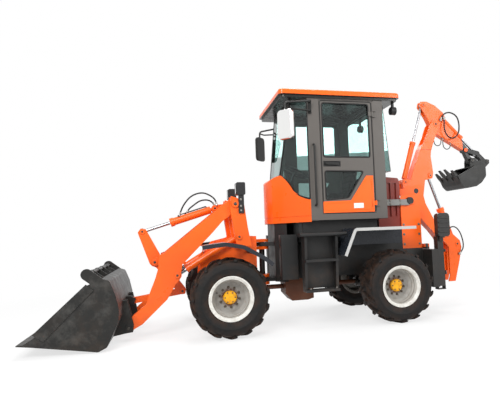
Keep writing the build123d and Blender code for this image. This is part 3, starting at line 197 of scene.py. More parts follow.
def paint(name, color, rough=0.32, dust=0.25, speck=0.10):
    """Sprayed paint: slightly uneven tone, orange peel, a film of dust low down."""
    s = Shader(name)
    tone = s.span(s.noise(1.7, 2), 0.3, 0.7)
    dark = tuple(c * (1 - speck) for c in color)
    light = tuple(min(1.0, c * (1 + speck * 0.6)) for c in color)
    base = dusty(s, s.mix(tone, dark, light), dust)
    return s.sprayed(base, rough, Coat_Roughness=0.12)


def rubber(name, center):
    """Tyre rubber: fine rings on the sidewall, earth between the lugs."""
    s = Shader(name)
    radius = s.radius_about(center.x, center.z)
    across = s.calc("ABSOLUTE", s.calc("SUBTRACT", s.axes()[1], center.y))
    tread = s.span(across, 0.195, 0.160)
    outer = s.span(radius, 0.42, 0.45)
    patch = s.span(s.noise(11, 5, 0.6), 0.35, 0.62)
    share = s.calc("MULTIPLY", s.calc("MULTIPLY", tread, patch), 0.62)
    base = s.mix(s.noise(30, 4), RUBBER, tuple(c * 1.9 for c in RUBBER))
    base = s.mix(share, base, TREAD_EARTH)
    rings = s.calc("SINE", s.calc("MULTIPLY", radius, 480))
    wall = s.calc("MULTIPLY", s.span(radius, 0.36, 0.34), s.span(radius, 0.27, 0.285))
    height = s.calc("ADD", s.calc("MULTIPLY", rings, s.calc("MULTIPLY", wall, 0.35)), s.noise(90, 5))
    rough = s.calc("ADD", s.calc("MULTIPLY", outer, 0.12), 0.56)
    return s.finish(base, rough, bump=height, depth=0.0012, edge=0.006, Specular_IOR_Level=0.15)


def wheel_paint(name, center, side):
    """Off-white rim with a yellow hub cap, a rusty ring round it, and painted shade that darkens the dish
    towards its inner side.
    """
    s = Shader(name)
    radius = s.radius_about(center.x, center.z)
    out = s.calc("MULTIPLY", s.calc("SUBTRACT", s.axes()[1], center.y), side)
    grime = s.span(s.noise(14, 6, 0.62), 0.40, 0.72)
    base = s.mix(s.calc("MULTIPLY", grime, 0.50), RIM_WHITE, RIM_GRIME)
    # Painted shade: the dish is darkened towards its inner side, where shade falls.
    dish_shade_share = s.calc("MULTIPLY", s.span(out, 0.12, -0.01), 0.70)
    base = s.mix(dish_shade_share, base, DISH_SHADE)
    ring = s.calc("MULTIPLY", s.span(radius, 0.118, 0.090), s.span(s.noise(40, 4), 0.25, 0.6))
    base = s.mix(ring, base, RUST)
    cap = s.calc("MULTIPLY", s.calc("LESS_THAN", radius, HUB_CAP_R), s.calc("GREATER_THAN", out, -0.005))
    hub = s.mix(s.span(s.noise(25, 4), 0.35, 0.75), HUB_YELLOW, HUB_STAIN)
    base = s.mix(cap, base, hub)
    return s.finish(base, s.span(grime, 0, 1, 0.38, 0.6), bump=s.noise(160, 3), depth=0.0003)


def glass(name):
    """Tinted safety glass, clear enough to see the seat through it."""
    s = Shader(name)
    film = s.span(s.noise(3, 4), 0.35, 0.75, 0.0, 0.03)
    return s.finish(TINT, film, edge=0, IOR=1.45, Transmission_Weight=1.0)


def chrome(name, color=(0.30, 0.30, 0.31)):
    s = Shader(name)
    line = s.noise(6, 3, place=s.stretched((40, 40, 2)))
    return s.finish(color, s.span(line, 0.3, 0.7, 0.12, 0.26), metallic=1.0)


def bare_steel(name, color=(0.36, 0.34, 0.31)):
    s = Shader(name)
    scratch = s.noise(12, 6, 0.7, place=s.stretched((1, 14, 9)))
    base = s.mix(s.span(scratch, 0.35, 0.7), color, tuple(c * 0.45 for c in color))
    return s.finish(base, s.span(scratch, 0.3, 0.7, 0.30, 0.55), metallic=0.75, bump=scratch,
                    depth=0.0004)


def tool_paint(name, color=TOOL_BLACK):
    """Black paint on an earth-moving tool: dusty, scuffed down to grey in streaks."""
    s = Shader(name)
    scuff = s.noise(5, 8, 0.68, place=s.stretched((1, 3, 1)))
    base = s.mix(s.span(scuff, 0.50, 0.72, 0.0, 0.55), color, SCUFF_GREY)
    base = dusty(s, base, 0.22, 0.0, 1.0)
    rough = s.span(scuff, 0.35, 0.7, 0.34, 0.58)
    return s.finish(base, rough, bump=s.noise(55, 6, 0.6), depth=0.0007, edge=0.004)


def plastic(name, color=(0.016, 0.016, 0.017), rough=0.42):
    s = Shader(name)
    grain = s.noise(700, 2)
    base = s.mix(s.noise(4, 3), tuple(c * 0.8 for c in color), tuple(c * 1.25 for c in color))
    return s.finish(base, s.span(s.noise(12, 4), 0.3, 0.7, rough - 0.07, rough + 0.07), bump=grain,
                    depth=0.0003)


def dress(names, material):
    for name in names:
        mesh = NODES[name].data
        mesh.materials.clear()
        mesh.materials.append(material)


def zones(name, base, marks, rough=0.36):
    """Paint with other colours in places. marks is a list of (pick(shader), colour), later ones on top."""
    s = Shader(name)
    color = base
    for pick, tint in marks:
        color = s.mix(pick(s), color, tint)
    return s.sprayed(dusty(s, color, 0.2), rough)


def within(*limits):
    """A picker: 1 where each (axis, low, high) holds. The axis y counts its distance from the middle."""
    def pick(s):
        share = 1.0
        for axis, low, high in limits:
            value = s.axes()["xyz".index(axis)]
            if axis == "y":
                value = s.calc("ABSOLUTE", value)
            inside = s.calc("MULTIPLY", s.calc("GREATER_THAN", value, low), s.calc("LESS_THAN", value, high))
            share = s.calc("MULTIPLY", inside, share)
        return share
    return pick


def spot(x, z, radius, y_from=0.0):
    """A picker: 1 inside a circle seen from the side, further out than y_from."""
    def pick(s):
        out = s.calc("GREATER_THAN", s.calc("ABSOLUTE", s.axes()[1]), y_from)
        return s.calc("MULTIPLY", s.calc("LESS_THAN", s.radius_about(x, z), radius), out)
    return pick


# ---- Mesh building ------------------------------------------------------------------------------
class Shape:
    """Gathers solids in one mesh, which becomes one piece."""

    def __init__(self):
        self.bm = bmesh.new()

    def loft(self, rings, closed=False, caps=True):
        rows = [[self.bm.verts.new(point) for point in ring] for ring in rings]
        pairs = list(zip(rows, rows[1:] + rows[:1])) if closed else list(zip(rows, rows[1:]))
        for first, second in pairs:
            for i in range(len(first)):
                j = (i + 1) % len(first)
                self.bm.faces.new((first[i], first[j], second[j], second[i]))
        if caps and not closed:
            self.bm.faces.new(rows[0][::-1])
            self.bm.faces.new(rows[-1])

    def tube(self, points, radius, sides=10, closed=False, flat=1.0):
        """A round bar through the points, its section kept square to the way through each."""
        points = [Vector(p) for p in points]
        count = len(points)
        rings = []
        side = None
        for i, point in enumerate(points):
            before = points[i - 1] if (i or closed) else point
            after = points[(i + 1) % count] if (i < count - 1 or closed) else point
            along_in = (point - before).normalized() if point != before else None
            along_out = (after - point).normalized() if after != point else None
            way = ((along_in or along_out) + (along_out or along_in)).normalized()
            if side is None:
                side = way.cross(Vector((0, 1, 0)))
                if side.length < 0.1:
                    side = way.cross(Vector((0, 0, 1)))
            side = (side - way * side.dot(way)).normalized()
            other = way.cross(side)
            wide = 1 / max(0.5, way.dot(along_out or along_in))
            ring = []
            for k in range(sides):
                turn = 2 * pi * k / sides
                ring.append(point + side * (cos(turn) * radius * wide) + other * (sin(turn) * radius * flat))
            rings.append(ring)
        self.loft(rings, closed=closed)

    def turned(self, place, axis, profile, sides=24):
        """A profile of (radius, height) turned about an axis through place."""
        axis = Vector(axis).normalized()
        side = axis.orthogonal().normalized()
        other = axis.cross(side)
        rings = []
        for radius, height in profile:
            middle = Vector(place) + axis * height
            ring = []
            for k in range(sides):
                turn = 2 * pi * k / sides
                ring.append(middle + side * (cos(turn) * radius) + other * (sin(turn) * radius))
            rings.append(ring)
        self.loft(rings)

    def bolt(self, place, axis, radius, height):
        """A hexagon head on a washer."""
        axis = Vector(axis).normalized()
        self.turned(place, axis, [(radius * 1.5, 0), (radius * 1.5, height * 0.2)], 16)
        self.turned(Vector(place) + axis * height * 0.2, axis,
                    [(radius, 0), (radius, height * 0.65), (radius * 0.85, height * 0.8)], 6)

    def slab(self, low, high, soft=0.004):
        """A block with rounded edges."""
        low, high = Vector(low), Vector(high)
        made = bmesh.ops.create_cube(self.bm, size=1.0)["verts"]
        for vert in made:
            vert.co = Vector(((vert.co[i] + 0.5) * (high[i] - low[i]) + low[i] for i in range(3)))
        edges = list({edge for vert in made for edge in vert.link_edges})
        bmesh.ops.bevel(self.bm, geom=edges, offset=soft, segments=3, profile=0.5, affect="EDGES")

    def piece(self, name, body, material, slot):
        bmesh.ops.recalc_face_normals(self.bm, faces=self.bm.faces)
        mesh = bpy.data.meshes.new(name)
        self.bm.to_mesh(mesh)
        self.bm.free()
        mesh.shade_smooth()
        mesh.set_sharp_from_angle(angle=radians(38))
        return place_piece(name, mesh, body, material)


def place_piece(name, data, body, material):
    piece = bpy.data.objects.new(name, data)
    bpy.context.scene.collection.objects.link(piece)
    data.materials.append(material)
    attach(piece, body)
    return piece


def rounded(points, radius, steps=4):
    """The closed run of points with its corners eased."""
    points = [Vector(p) for p in points]
    out = []
    for i, point in enumerate(points):
        before = (points[i - 1] - point).normalized() * radius
        after = (points[(i + 1) % len(points)] - point).normalized() * radius
        for k in range(steps + 1):
            t = k / steps
            out.append(point + before * (1 - t) ** 2 + after * t ** 2)
    return out


# ---- CAD nodes' finishes ------------------------------------------------------------------------
LIP_HIGHLIGHT_DEPTH = 0.0065           # depth of the silver band painted on the rear fenders' outer side as a highlight on their lip
RAIL_BACK, RAIL_OUT = 0.95, 0.665       # the grab rail is forward of the one and outside the other
ROOF_BODY = 0.039            # height of the roof's black body under its orange slab
LEG_GUIDE_TOP = 0.9205       # the backhoe mount is grey up to here, with the legs' guides
LOCK_X, LOCK_Z, LOCK_R = -0.487, 1.600, 0.0515          # the knob on the boom lock's bracket
BRACKET_FRONT = -0.055
HOLE_SHADE_X, HOLE_SHADE_Z, HOLE_SHADE_R = -0.769, 1.763, 0.040           # a black disc painted on the boom as the shade inside a hole low in it
BOOM_SEAM = (2.396, 2.403)
CASTING_FRONT = -1.640       # the dipper's cast end lies behind this
HANDLE_X, HANDLE_Z = (0.655, 0.895), (2.048, 2.122)     # the dish of the door's handle
DOOR_SKIN_OUT, DOOR_SKIN_TOP = 0.6625, 1.95             # the door's orange lower skin


def dress_nodes():
    orange = paint("orange paint", ORANGE)
    dress(["cowl", "front_frame", "loader_arms", "swing_post", "rocker", "bucket_link", "tilt_barrel",
           "lift_barrels", "boom_barrel", "dipper_barrel", "bucket_barrel"], orange)
    black = paint("chassis paint", CHASSIS_BLACK, rough=0.5, dust=0.45)
    dress(["rear_frame", "cab_steps", "side_boxes", "engine_block", "rear_axle", "front_axle",
           "tipping_links", "push_link", "leg_barrel_left", "leg_barrel_right"], black)
    dress(["drive_line"], paint("gearbox paint", RUST, rough=0.6, dust=0.5, speck=0.35))
    dress(["front_fenders"], paint("fender paint", FENDER_BLACK, rough=0.22))
    # Painted highlight: a silver band along the black fenders' outer lip stands in for light on that edge.
    lip_highlight = (("y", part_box("rear_fenders")[1].y - LIP_HIGHLIGHT_DEPTH, 2.0),)
    dress(["rear_fenders"], zones("rear fender paint and lip highlight", FENDER_BLACK, [(within(*lip_highlight), LIP_HIGHLIGHT_SILVER)], 0.25))
    dress(["leg_left", "leg_right"], paint("leg paint", LEG_GREY, rough=0.42))
    rail = (("y", RAIL_OUT, 2.0), ("x", at(RAIL_BACK, 0, 0).x, 9.0))
    dress(["cab_body"], zones("cab paint", CAB_GREY, [(within(*rail), TOOL_BLACK)], 0.42))
    # Painted shade: the hood takes a dark red that stands for its orange in shade.
    dress(["rear_hood"], paint("hood shaded orange paint", HOOD_SHADED_ORANGE, rough=0.35))
    dress(["loader_bucket", "backhoe_bucket"], tool_paint("tool paint"))
    dress(["tilt_rod", "lift_rods", "boom_rod", "dipper_rod", "bucket_rod", "leg_rod_left",
           "leg_rod_right"], chrome("rod chrome"))
    dress(["cab_glass", "door_glass"], glass("tinted glass"))
    dress(["console", "lamps", "headlights"], plastic("black plastic"))
    for name in WHEELS:
        center = PINS[f"wheel_{name}_spin"]
        side = 1.0 if center.y > 0 else -1.0
        dress([f"tyre_{name}"], rubber(f"tyre rubber {name}", center))
        dress([f"wheel_{name}"], wheel_paint(f"wheel paint {name}", center, side))
    dress(["mirrors"], mirror_finish("mirror shells"))
    body = within(("z", 0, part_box("roof")[0].z + ROOF_BODY))
    dress(["roof"], zones("roof paint", ORANGE, [(body, TOOL_BLACK)], 0.25))
    lock = at(LOCK_X, 0, LOCK_Z)
    bracket = within(("x", lock.x, at(BRACKET_FRONT, 0, 0).x), ("y", 0.355, 1.0), ("z", 1.5, 1.65))
    mount = [(within(("z", 0, LEG_GUIDE_TOP)), LEG_GREY), (bracket, BRACKET_GREY),
             (spot(lock.x, lock.z, LOCK_R, 0.344), TOOL_BLACK)]
    dress(["backhoe_mount"], zones("mount paint", ORANGE, mount))
    # Painted shade: a black disc on the boom stands in for the dark inside of a hole.
    hole_shade = at(HOLE_SHADE_X, 0, HOLE_SHADE_Z)
    boom = [(within(("z", *BOOM_SEAM)), tuple(c * 0.25 for c in ORANGE)),
            (spot(hole_shade.x, hole_shade.z, HOLE_SHADE_R, 0.07), TOOL_BLACK)]
    dress(["boom"], zones("boom paint", ORANGE, boom))
    casting = within(("x", -9, at(CASTING_FRONT, 0, 0).x))
    dress(["dipper"], zones("dipper paint", ORANGE, [(casting, TOOL_BLACK)]))
    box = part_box("door")
    dish = [at(x, 0, 0).x for x in HANDLE_X]
    handle = within(("x", *dish), ("z", *HANDLE_Z), ("y", 0.6, 1.0))
    skin = within(("y", DOOR_SKIN_OUT, 1.0), ("z", 0, DOOR_SKIN_TOP), ("x", box[0].x, box[1].x))
    door = [(skin, ORANGE), (handle, TOOL_BLACK)]
    dress(["door", "right_panel"], zones("door paint", CAB_GREY, door, 0.4))


def mirror_finish(name):
    """Black tubes, a black shell on the right and a bright one on the left."""
    s = Shader(name)
    _, y, z = s.axes()
    bright = s.calc("MULTIPLY", s.calc("GREATER_THAN", y, 0.7), s.calc("LESS_THAN", z, 2.738))
    color = s.mix(bright, TOOL_BLACK, (0.86, 0.86, 0.85))
    return s.finish(color, s.span(bright, 0, 1, 0.42, 0.12), metallic=bright, bump=s.noise(60, 2),
                    depth=0.0001)


# ---- Cords --------------------------------------------------------------------------------------
HOSES = [  # name, body, length, diameter, lay, and its route from exit to far end
    ("tilt_hose_outer", "tilt_barrel", 0.72, 0.020, "loose",
     [(2.715, 0.030, 1.490), (2.700, 0.032, 1.545), (2.655, 0.036, 1.640), (2.560, 0.042, 1.752),
      (2.415, 0.050, 1.795), (2.300, 0.056, 1.745), (2.235, 0.060, 1.680), (2.228, 0.061, 1.622)]),
    ("tilt_hose_inner", "tilt_barrel", 0.47, 0.020, "loose",
     [(2.620, -0.030, 1.520), (2.600, -0.032, 1.570), (2.530, -0.036, 1.625), (2.440, -0.044, 1.690),
      (2.340, -0.052, 1.700), (2.270, -0.058, 1.665), (2.250, -0.060, 1.622)]),
    ("dipper_hose_loop", "dipper", 1.15, 0.022, "loose",
     [(-1.262, 0.078, 2.868), (-1.285, 0.082, 2.925), (-1.340, 0.090, 2.975), (-1.430, 0.098, 2.985),
      (-1.540, 0.100, 2.925), (-1.570, 0.102, 2.790), (-1.545, 0.104, 2.640), (-1.440, 0.106, 2.560),
      (-1.335, 0.110, 2.605), (-1.292, 0.106, 2.720), (-1.310, 0.092, 2.830), (-1.322, 0.078, 2.900)]),
    ("dipper_hose_upper", "dipper", 0.37, 0.013, "hanging",
     [(-1.167, 0.0, 2.662), (-1.167, 0.0, 2.600), (-1.167, 0.0, 2.545), (-1.182, 0.0, 2.493),
      (-1.232, 0.0, 2.468), (-1.282, 0.0, 2.493), (-1.297, 0.0, 2.545), (-1.297, 0.0, 2.592)]),
    ("dipper_hose_lower", "dipper", 0.34, 0.013, "hanging",
     [(-1.307, 0.030, 2.588), (-1.307, 0.030, 2.530), (-1.307, 0.030, 2.485), (-1.322, 0.030, 2.433),
      (-1.372, 0.030, 2.408), (-1.422, 0.030, 2.433), (-1.437, 0.030, 2.480), (-1.437, 0.030, 2.516)]),
    ("boom_foot_hose", "swing_post", 0.64, 0.018, "loose",
     [(-1.240, 0.124, 1.085), (-1.245, 0.126, 1.150), (-1.290, 0.130, 1.205), (-1.370, 0.133, 1.200),
      (-1.438, 0.134, 1.125), (-1.478, 0.134, 1.010), (-1.490, 0.132, 0.920), (-1.475, 0.128, 0.845),
      (-1.420, 0.124, 0.790)]),
]
PORTS = [  # body, x, z, and y of the face it stands on and of its end: where a hose runs alongside
    ("dipper", -1.262, 2.868, 0.050, 0.090), ("dipper", -1.322, 2.900, 0.050, 0.090),
    ("swing_post", -1.240, 1.085, 0.104, 0.136), ("swing_post", -1.420, 0.790, 0.104, 0.136),
]
PORT_HALF = 0.017


def hose_rubber(name):
    """Ribbed black hose cover."""
    s = Shader(name)
    weave = s.noise(380, 2)
    base = s.mix(s.noise(18, 3), (0.007, 0.007, 0.007), (0.018, 0.018, 0.018))
    return s.finish(base, s.span(s.noise(25, 3), 0.3, 0.7, 0.38, 0.55), bump=weave, depth=0.0006, edge=0)


def make_hoses():
    cover = hose_rubber("hose cover")
    steel = bare_steel("fitting steel", (0.42, 0.41, 0.38))
    for name, body, length, diameter, lay, route in HOSES:
        data = bpy.data.curves.new(name, "CURVE")
        data.dimensions = "3D"
        data.resolution_u = 16
        data.bevel_depth = diameter / 2
        data.bevel_resolution = 4
        data.use_fill_caps = True
        spline = data.splines.new("NURBS")
        spline.points.add(len(route) - 1)
        for point, place in zip(spline.points, route):
            point.co = (*at(*place), 1)
        spline.order_u = 3
        spline.use_endpoint_u = True
        hose = place_piece(name, data, body, cover)
        fittings = Shape()
        r = diameter / 2
        nut = [(r * 1.5, 0), (r * 1.5, 0.020), (r * 1.25, 0.024)]
        sleeve = [(r * 1.22, 0), (r * 1.22, 0.026), (r * 1.1, 0.030)]
        for end, inner in ((route[0], route[1]), (route[-1], route[-2])):
            way = (at(*inner) - at(*end)).normalized()
            fittings.turned(at(*end) - way * 0.012, way, nut, 6)
            fittings.turned(at(*end) + way * 0.010, way, sleeve, 16)
        ends = fittings.piece(name + "_ends", body, steel, "rod_chrome")
    for i, (body, x, z, y_from, y_to) in enumerate(PORTS):
        port = Shape()
        port.slab(at(x - PORT_HALF, y_from, z - PORT_HALF), at(x + PORT_HALF, y_to, z + PORT_HALF), 0.004)
        port.piece(f"hose_port_{i}", body, steel, "rod_chrome")


# ---- Details ------------------------------------------------------------------------------------
HALF = 0.660             # half the cab's width
PANES = [[(0.884, 2.175), (0.884, 2.890), (0.230, 2.890), (0.230, 2.175)],
         [(0.876, 1.989), (0.336, 1.985), (0.560, 1.638), (0.873, 1.611)]]
DOOR_EDGE = [(0.184, 1.443), (0.914, 1.443), (0.914, 2.922), (0.184, 2.922)]
CORNER_LOW = (1.395, 0.300, 1.975)
CORNER_TOP = (1.263, 0.450, 2.934)
COWL_EDGE = [(1.395, 1.985), (1.345, 1.915), (1.324, 1.879), (1.300, 1.815), (1.266, 1.760),
             (1.232, 1.712), (1.185, 1.678), (1.135, 1.650), (1.090, 1.632)]
COWL_FOLD_X = 1.083      # from here forward the cowl leans in, by this much for each metre
COWL_LEAN = 1.1346
BACK_PANE = [(-0.63, 1.985), (0.63, 1.985), (0.63, 2.900), (-0.63, 2.900)]


def side_loop(points, y, radius):
    return rounded([at(x, y, z) for x, z in points], radius)


def make_seals():
    """Black gaskets round every pane and along the cowl's edge."""
    gum = plastic("seal rubber", (0.009, 0.009, 0.009), 0.55)
    door, cab = Shape(), Shape()
    for shape, y in ((door, HALF), (cab, -HALF)):
        for pane in PANES:
            shape.tube(side_loop(pane, y, 0.03), 0.010, 8, closed=True, flat=0.7)
        shape.tube(side_loop(DOOR_EDGE, y, 0.03), 0.006, 8, closed=True)
    for side in (1, -1):
        def on_side(x, y, z):
            return at(x, y * side, z)
        cab.tube([on_side(x, HALF - COWL_LEAN * (x - COWL_FOLD_X), z) for x, z in COWL_EDGE], 0.011, 8)
        cab.tube([on_side(1.089, 0.654, 1.64), on_side(1.089, 0.654, 2.93)], 0.009, 8)
        cab.tube([on_side(*CORNER_LOW), on_side(*CORNER_TOP)], 0.012, 8)
    for x, y, z in (CORNER_LOW, CORNER_TOP):
        cab.tube([at(x + 0.004, -y, z), at(x + 0.004, y, z)], 0.011, 8)
    back = [at(0.010, y, z) for y, z in BACK_PANE]
    cab.tube(rounded(back, 0.04), 0.009, 8, closed=True)
    door.piece("door_seals", "door", gum, "black_plastic")
    cab.piece("cab_seals", "rear_frame", gum, "black_plastic")


PIN_CAPS = [  # body, x, z, pin radius, y of its outer end
    ("front_frame", 2.030, 1.600, 0.036, 0.462), ("front_frame", 1.990, 1.180, 0.024, 0.462),
    ("loader_arms", 2.764, 0.735, 0.024, 0.418), ("loader_arms", 3.040, 0.893, 0.028, 0.073),
    ("rocker", 3.187, 1.292, 0.022, 0.052), ("rocker", 2.700, 0.500, 0.024, 0.052),
    ("loader_bucket", 3.340, 0.150, 0.028, 0.435), ("front_frame", 2.250, 1.574, 0.022, 0.046),
    ("swing_post", -1.175, 1.055, 0.026, 0.107), ("swing_post", -1.400, 0.940, 0.022, 0.107),
    ("boom", -1.170, 2.800, 0.028, 0.075), ("boom", -0.600, 1.900, 0.020, 0.075),
    ("boom", -1.019, 1.999, 0.022, 0.083), ("dipper", -1.310, 2.925, 0.018, 0.052),
    ("dipper", -0.982, 3.096, 0.020, 0.054), ("dipper", -1.690, 2.400, 0.018, 0.060),
    ("backhoe_bucket", -1.787, 2.230, 0.024, 0.082), ("backhoe_bucket", -2.050, 2.215, 0.020, 0.082),
]


def make_pin_caps():
    """A chamfered cap on each end of the big pins, with a bolt at its middle."""
    steel = bare_steel("pin steel", (0.10, 0.09, 0.08))
    orange = paint("pin paint", ORANGE, rough=0.4)
    black = paint("black pin paint", TOOL_BLACK, rough=0.5)
    for body in sorted({row[0] for row in PIN_CAPS}):
        caps, bolts = Shape(), Shape()
        for _, x, z, r, y in [row for row in PIN_CAPS if row[0] == body]:
            for side in (1, -1):
                axis = (0, side, 0)
                caps.turned(at(x, side * (y - 0.002), z), axis,
                            [(r + 0.013, 0), (r + 0.013, 0.005), (r + 0.009, 0.009)])
                bolts.bolt(at(x, side * (y + 0.006), z), axis, r * 0.42, 0.009)
        finish = black if "bucket" in body else orange
        slot = "dark_paint" if "bucket" in body else "orange_paint"
        caps.piece(f"pin_caps_{body}", body, finish, slot)
        bolts.piece(f"pin_bolts_{body}", body, steel, "rod_chrome")


NUT_COUNT, NUT_CIRCLE_R = 10, 0.118
CAP_BOLT_COUNT, CAP_BOLT_CIRCLE_R = 6, 0.060
LOCK_RING_R = 0.2175


def spokes(count, ahead=0.0):
    """Unit vectors evenly round an axle, the first one that share of a step ahead."""
    turns = [2 * pi * (k + ahead) / count for k in range(count)]
    return [Vector((cos(turn), 0, sin(turn))) for turn in turns]


def make_wheel_parts():
    """Nuts and a valve on each wheel disc, bolts on its cap, and a locking ring inside the rim."""
    steel = bare_steel("nut steel", (0.16, 0.13, 0.10))
    ring_paint = paint("lock ring paint", (0.30, 0.28, 0.25), rough=0.4)
    for name in WHEELS:
        center = PINS[f"wheel_{name}_spin"]
        axis = Vector((0, 1 if center.y > 0 else -1, 0))
        nuts = Shape()
        for spoke in spokes(NUT_COUNT, 0.3):
            foot = center + spoke * NUT_CIRCLE_R
            nuts.bolt(foot - axis * 0.007, axis, 0.011, 0.022)
            nuts.turned(foot + axis * 0.010, axis, [(0.006, 0), (0.006, 0.012)], 10)
        for spoke in spokes(CAP_BOLT_COUNT):
            nuts.bolt(center + spoke * CAP_BOLT_CIRCLE_R + axis * 0.039, axis, 0.006, 0.008)
        valve = center + Vector((0.150, 0, 0.060)) - axis * 0.008
        nuts.tube([valve, valve + axis * 0.05, valve + axis * 0.07 + Vector((0.012, 0, 0.006))], 0.005, 8)
        body = f"wheel_{name}"
        nuts.piece(f"nuts_{name}", body, steel, "rod_chrome")
        ring = Shape()
        middle = center + axis * 0.095
        ring.tube([middle + spoke * LOCK_RING_R for spoke in spokes(72)], 0.006, 8, closed=True)
        ring.piece(f"lock_ring_{name}", body, ring_paint, "rim_paint")


WORK_LAMP_Y = 0.560
HEADLIGHT_Y = 0.425
LENS_HALF = 0.048            # half a headlight lens's width
LENS_Z = (1.732, 1.854)
BEZEL = 0.005                # from the lens's edge to the middle of the bezel's bar
STEM_BOLT_Z = (1.515, 1.570, 1.655)


def make_lamps():
    """Lenses and bezels of the work lamps and of the headlights on the loader tower."""
    lens = Shader("lamp lens")
    rib = lens.calc("SINE", lens.calc("MULTIPLY", lens.axes()[1], 700))
    clear = lens.finish((0.75, 0.77, 0.78), 0.08, metallic=0.6, bump=rib, depth=0.0012, edge=0)
    trim = plastic("lamp trim", (0.012, 0.012, 0.012), 0.35)
    steel = bare_steel("lamp bolt steel")
    glasses, bezels = Shape(), Shape()
    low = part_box("lamps")[0]
    for side in (1, -1):
        middle = Vector((low.x, side * WORK_LAMP_Y, low.z + 0.055))
        glasses.turned(middle + Vector((0.004, 0, 0)), (-1, 0, 0),
                       [(0.045, 0), (0.044, 0.003), (0.030, 0.008), (0.012, 0.010)])
        bezels.turned(middle + Vector((0.012, 0, 0)), (-1, 0, 0),
                      [(0.0565, 0), (0.0575, 0.006), (0.055, 0.013), (0.046, 0.015), (0.045, 0.008)])
        bezels.slab(middle + Vector((0.02, -0.02, 0.05)), middle + Vector((0.05, 0.02, 0.075)), 0.003)
    glasses.piece("work_lamp_lenses", "rear_frame", clear, "glass")
    bezels.piece("work_lamp_bezels", "rear_frame", trim, "black_plastic")
    glasses, bezels, bolts = Shape(), Shape(), Shape()
    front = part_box("headlights")[1].x
    foot, head = LENS_Z
    for side in (1, -1):
        middle = side * HEADLIGHT_Y
        glasses.slab((front - 0.004, middle - LENS_HALF, foot),
                     (front + 0.005, middle + LENS_HALF, head), 0.004)
        wide = LENS_HALF + BEZEL
        corners = [(-wide, foot - BEZEL), (wide, foot - BEZEL), (wide, head + BEZEL), (-wide, head + BEZEL)]
        bezels.tube(rounded([(front, middle + y, z) for y, z in corners], 0.016), 0.006, 8, closed=True)
        for z in STEM_BOLT_Z:
            bolts.bolt(at(1.960, side * 0.476, z), (0, side, 0), 0.009, 0.010)
    glasses.piece("headlight_lenses", "front_frame", clear, "glass")
    bezels.piece("headlight_bezels", "front_frame", trim, "black_plastic")
    bolts.piece("headlight_bolts", "front_frame", steel, "rod_chrome")


DOOR_CREASE = [(0.236, 1.475), (0.886, 1.475), (0.886, 1.560), (0.520, 1.572), (0.290, 1.895), (0.236, 1.895)]
FRAME_BOLTS = [  # where along the machine, how far out, at what heights, and the head's radius and height
    ((-0.120, -0.175, -0.330), 0.3815, (1.553, 1.602), 0.011, 0.012),
    ((-0.380, -0.620), 0.3495, (0.980, 1.120, 1.260), 0.012, 0.012),
    ((0.830, 1.170), 0.7885, (0.500,), 0.008, 0.008),
]
TREADS = [  # a tread's first stud along and out, the step along, studs along and out, and its height
    (0.840, 0.655, 0.020, 17, 5, 0.485), (0.840, 0.655, 0.020, 17, 5, 0.860),
    (0.800, 0.680, 0.0225, 20, 4, 1.190),
]
STUD_STEP_OUT = 0.028


def make_fasteners():
    """Bolt heads, tread studs on the steps and the blank plate on the door."""
    steel = bare_steel("bolt steel", (0.22, 0.20, 0.18))
    white = plastic("plate white", (0.72, 0.72, 0.70), 0.3)
    black = plastic("step tread", (0.014, 0.014, 0.014), 0.5)
    door = Shape()
    door.slab(at(0.359, 0.6675, 1.496), at(0.497, 0.6705, 1.562), 0.001)
    door.piece("door_plate", "door", white, "rim_paint")
    lower = Shape()
    lower.tube(side_loop(DOOR_CREASE, 0.6665, 0.03), 0.0045, 8, closed=True)
    lower.piece("door_crease", "door", paint("crease paint", ORANGE), "orange_paint")
    frame_bolts, tread = Shape(), Shape()
    stud = [(0.006, 0), (0.0045, 0.004)]
    for side in (1, -1):
        for along, y, heights, radius, height in FRAME_BOLTS:
            for x in along:
                for z in heights:
                    frame_bolts.bolt(at(x, side * y, z), (0, side, 0), radius, height)
        for x, y, step, count, rows, z in TREADS:
            for i in range(count):
                for j in range(rows):
                    place = at(x + i * step, side * (y + j * STUD_STEP_OUT), z - 0.0005)
                    tread.turned(place, (0, 0, 1), stud, 8)
    frame_bolts.piece("frame_bolts", "rear_frame", steel, "rod_chrome")
    tread.piece("step_tread", "rear_frame", black, "dark_paint")
    edge = Shape()
    for k in range(9):
        edge.bolt(at(4.290, -0.800 + k * 0.2, 0.1535), (0, 0, 1), 0.013, 0.010)
    edge.piece("edge_bolts", "loader_bucket", steel, "rod_chrome")


TILT_FOOT = Vector((2.250, 0, 1.574))
TILT_EYE = Vector((3.187, 0, 1.292))
TILT_PIPES = [(0.030, 0.480), (-0.030, 0.385)]   # how far out each runs and how far along it ends


def make_lines():
    """Two steel pipes along the tilt cylinder, each with its port."""
    pipe = bare_steel("pipe steel", (0.07, 0.065, 0.06))
    tilt = Shape()
    way = (TILT_EYE - TILT_FOOT).normalized()
    up = Vector((-way.z, 0, way.x))
    for y, reach in TILT_PIPES:
        foot = TILT_FOOT + way * 0.10 + up * 0.048
        run = [foot, foot + up * 0.014 + way * 0.012, TILT_FOOT + way * (reach - 0.02) + up * 0.062,
               TILT_FOOT + way * reach + up * 0.046]
        tilt.tube([at(p.x, y, p.z) for p in run], 0.007, 8)
        port = TILT_FOOT + way * reach + up * 0.040
        tilt.turned(at(port.x, y, port.z), up, [(0.018, 0), (0.018, 0.018), (0.013, 0.022)], 6)
    tilt.piece("tilt_pipes", "tilt_barrel", pipe, "dark_paint")


CHANNEL_STEP = 0.085     # between the sewn channels
CHANNEL_HALF = 0.016
CHANNEL_DEPTH = 0.008


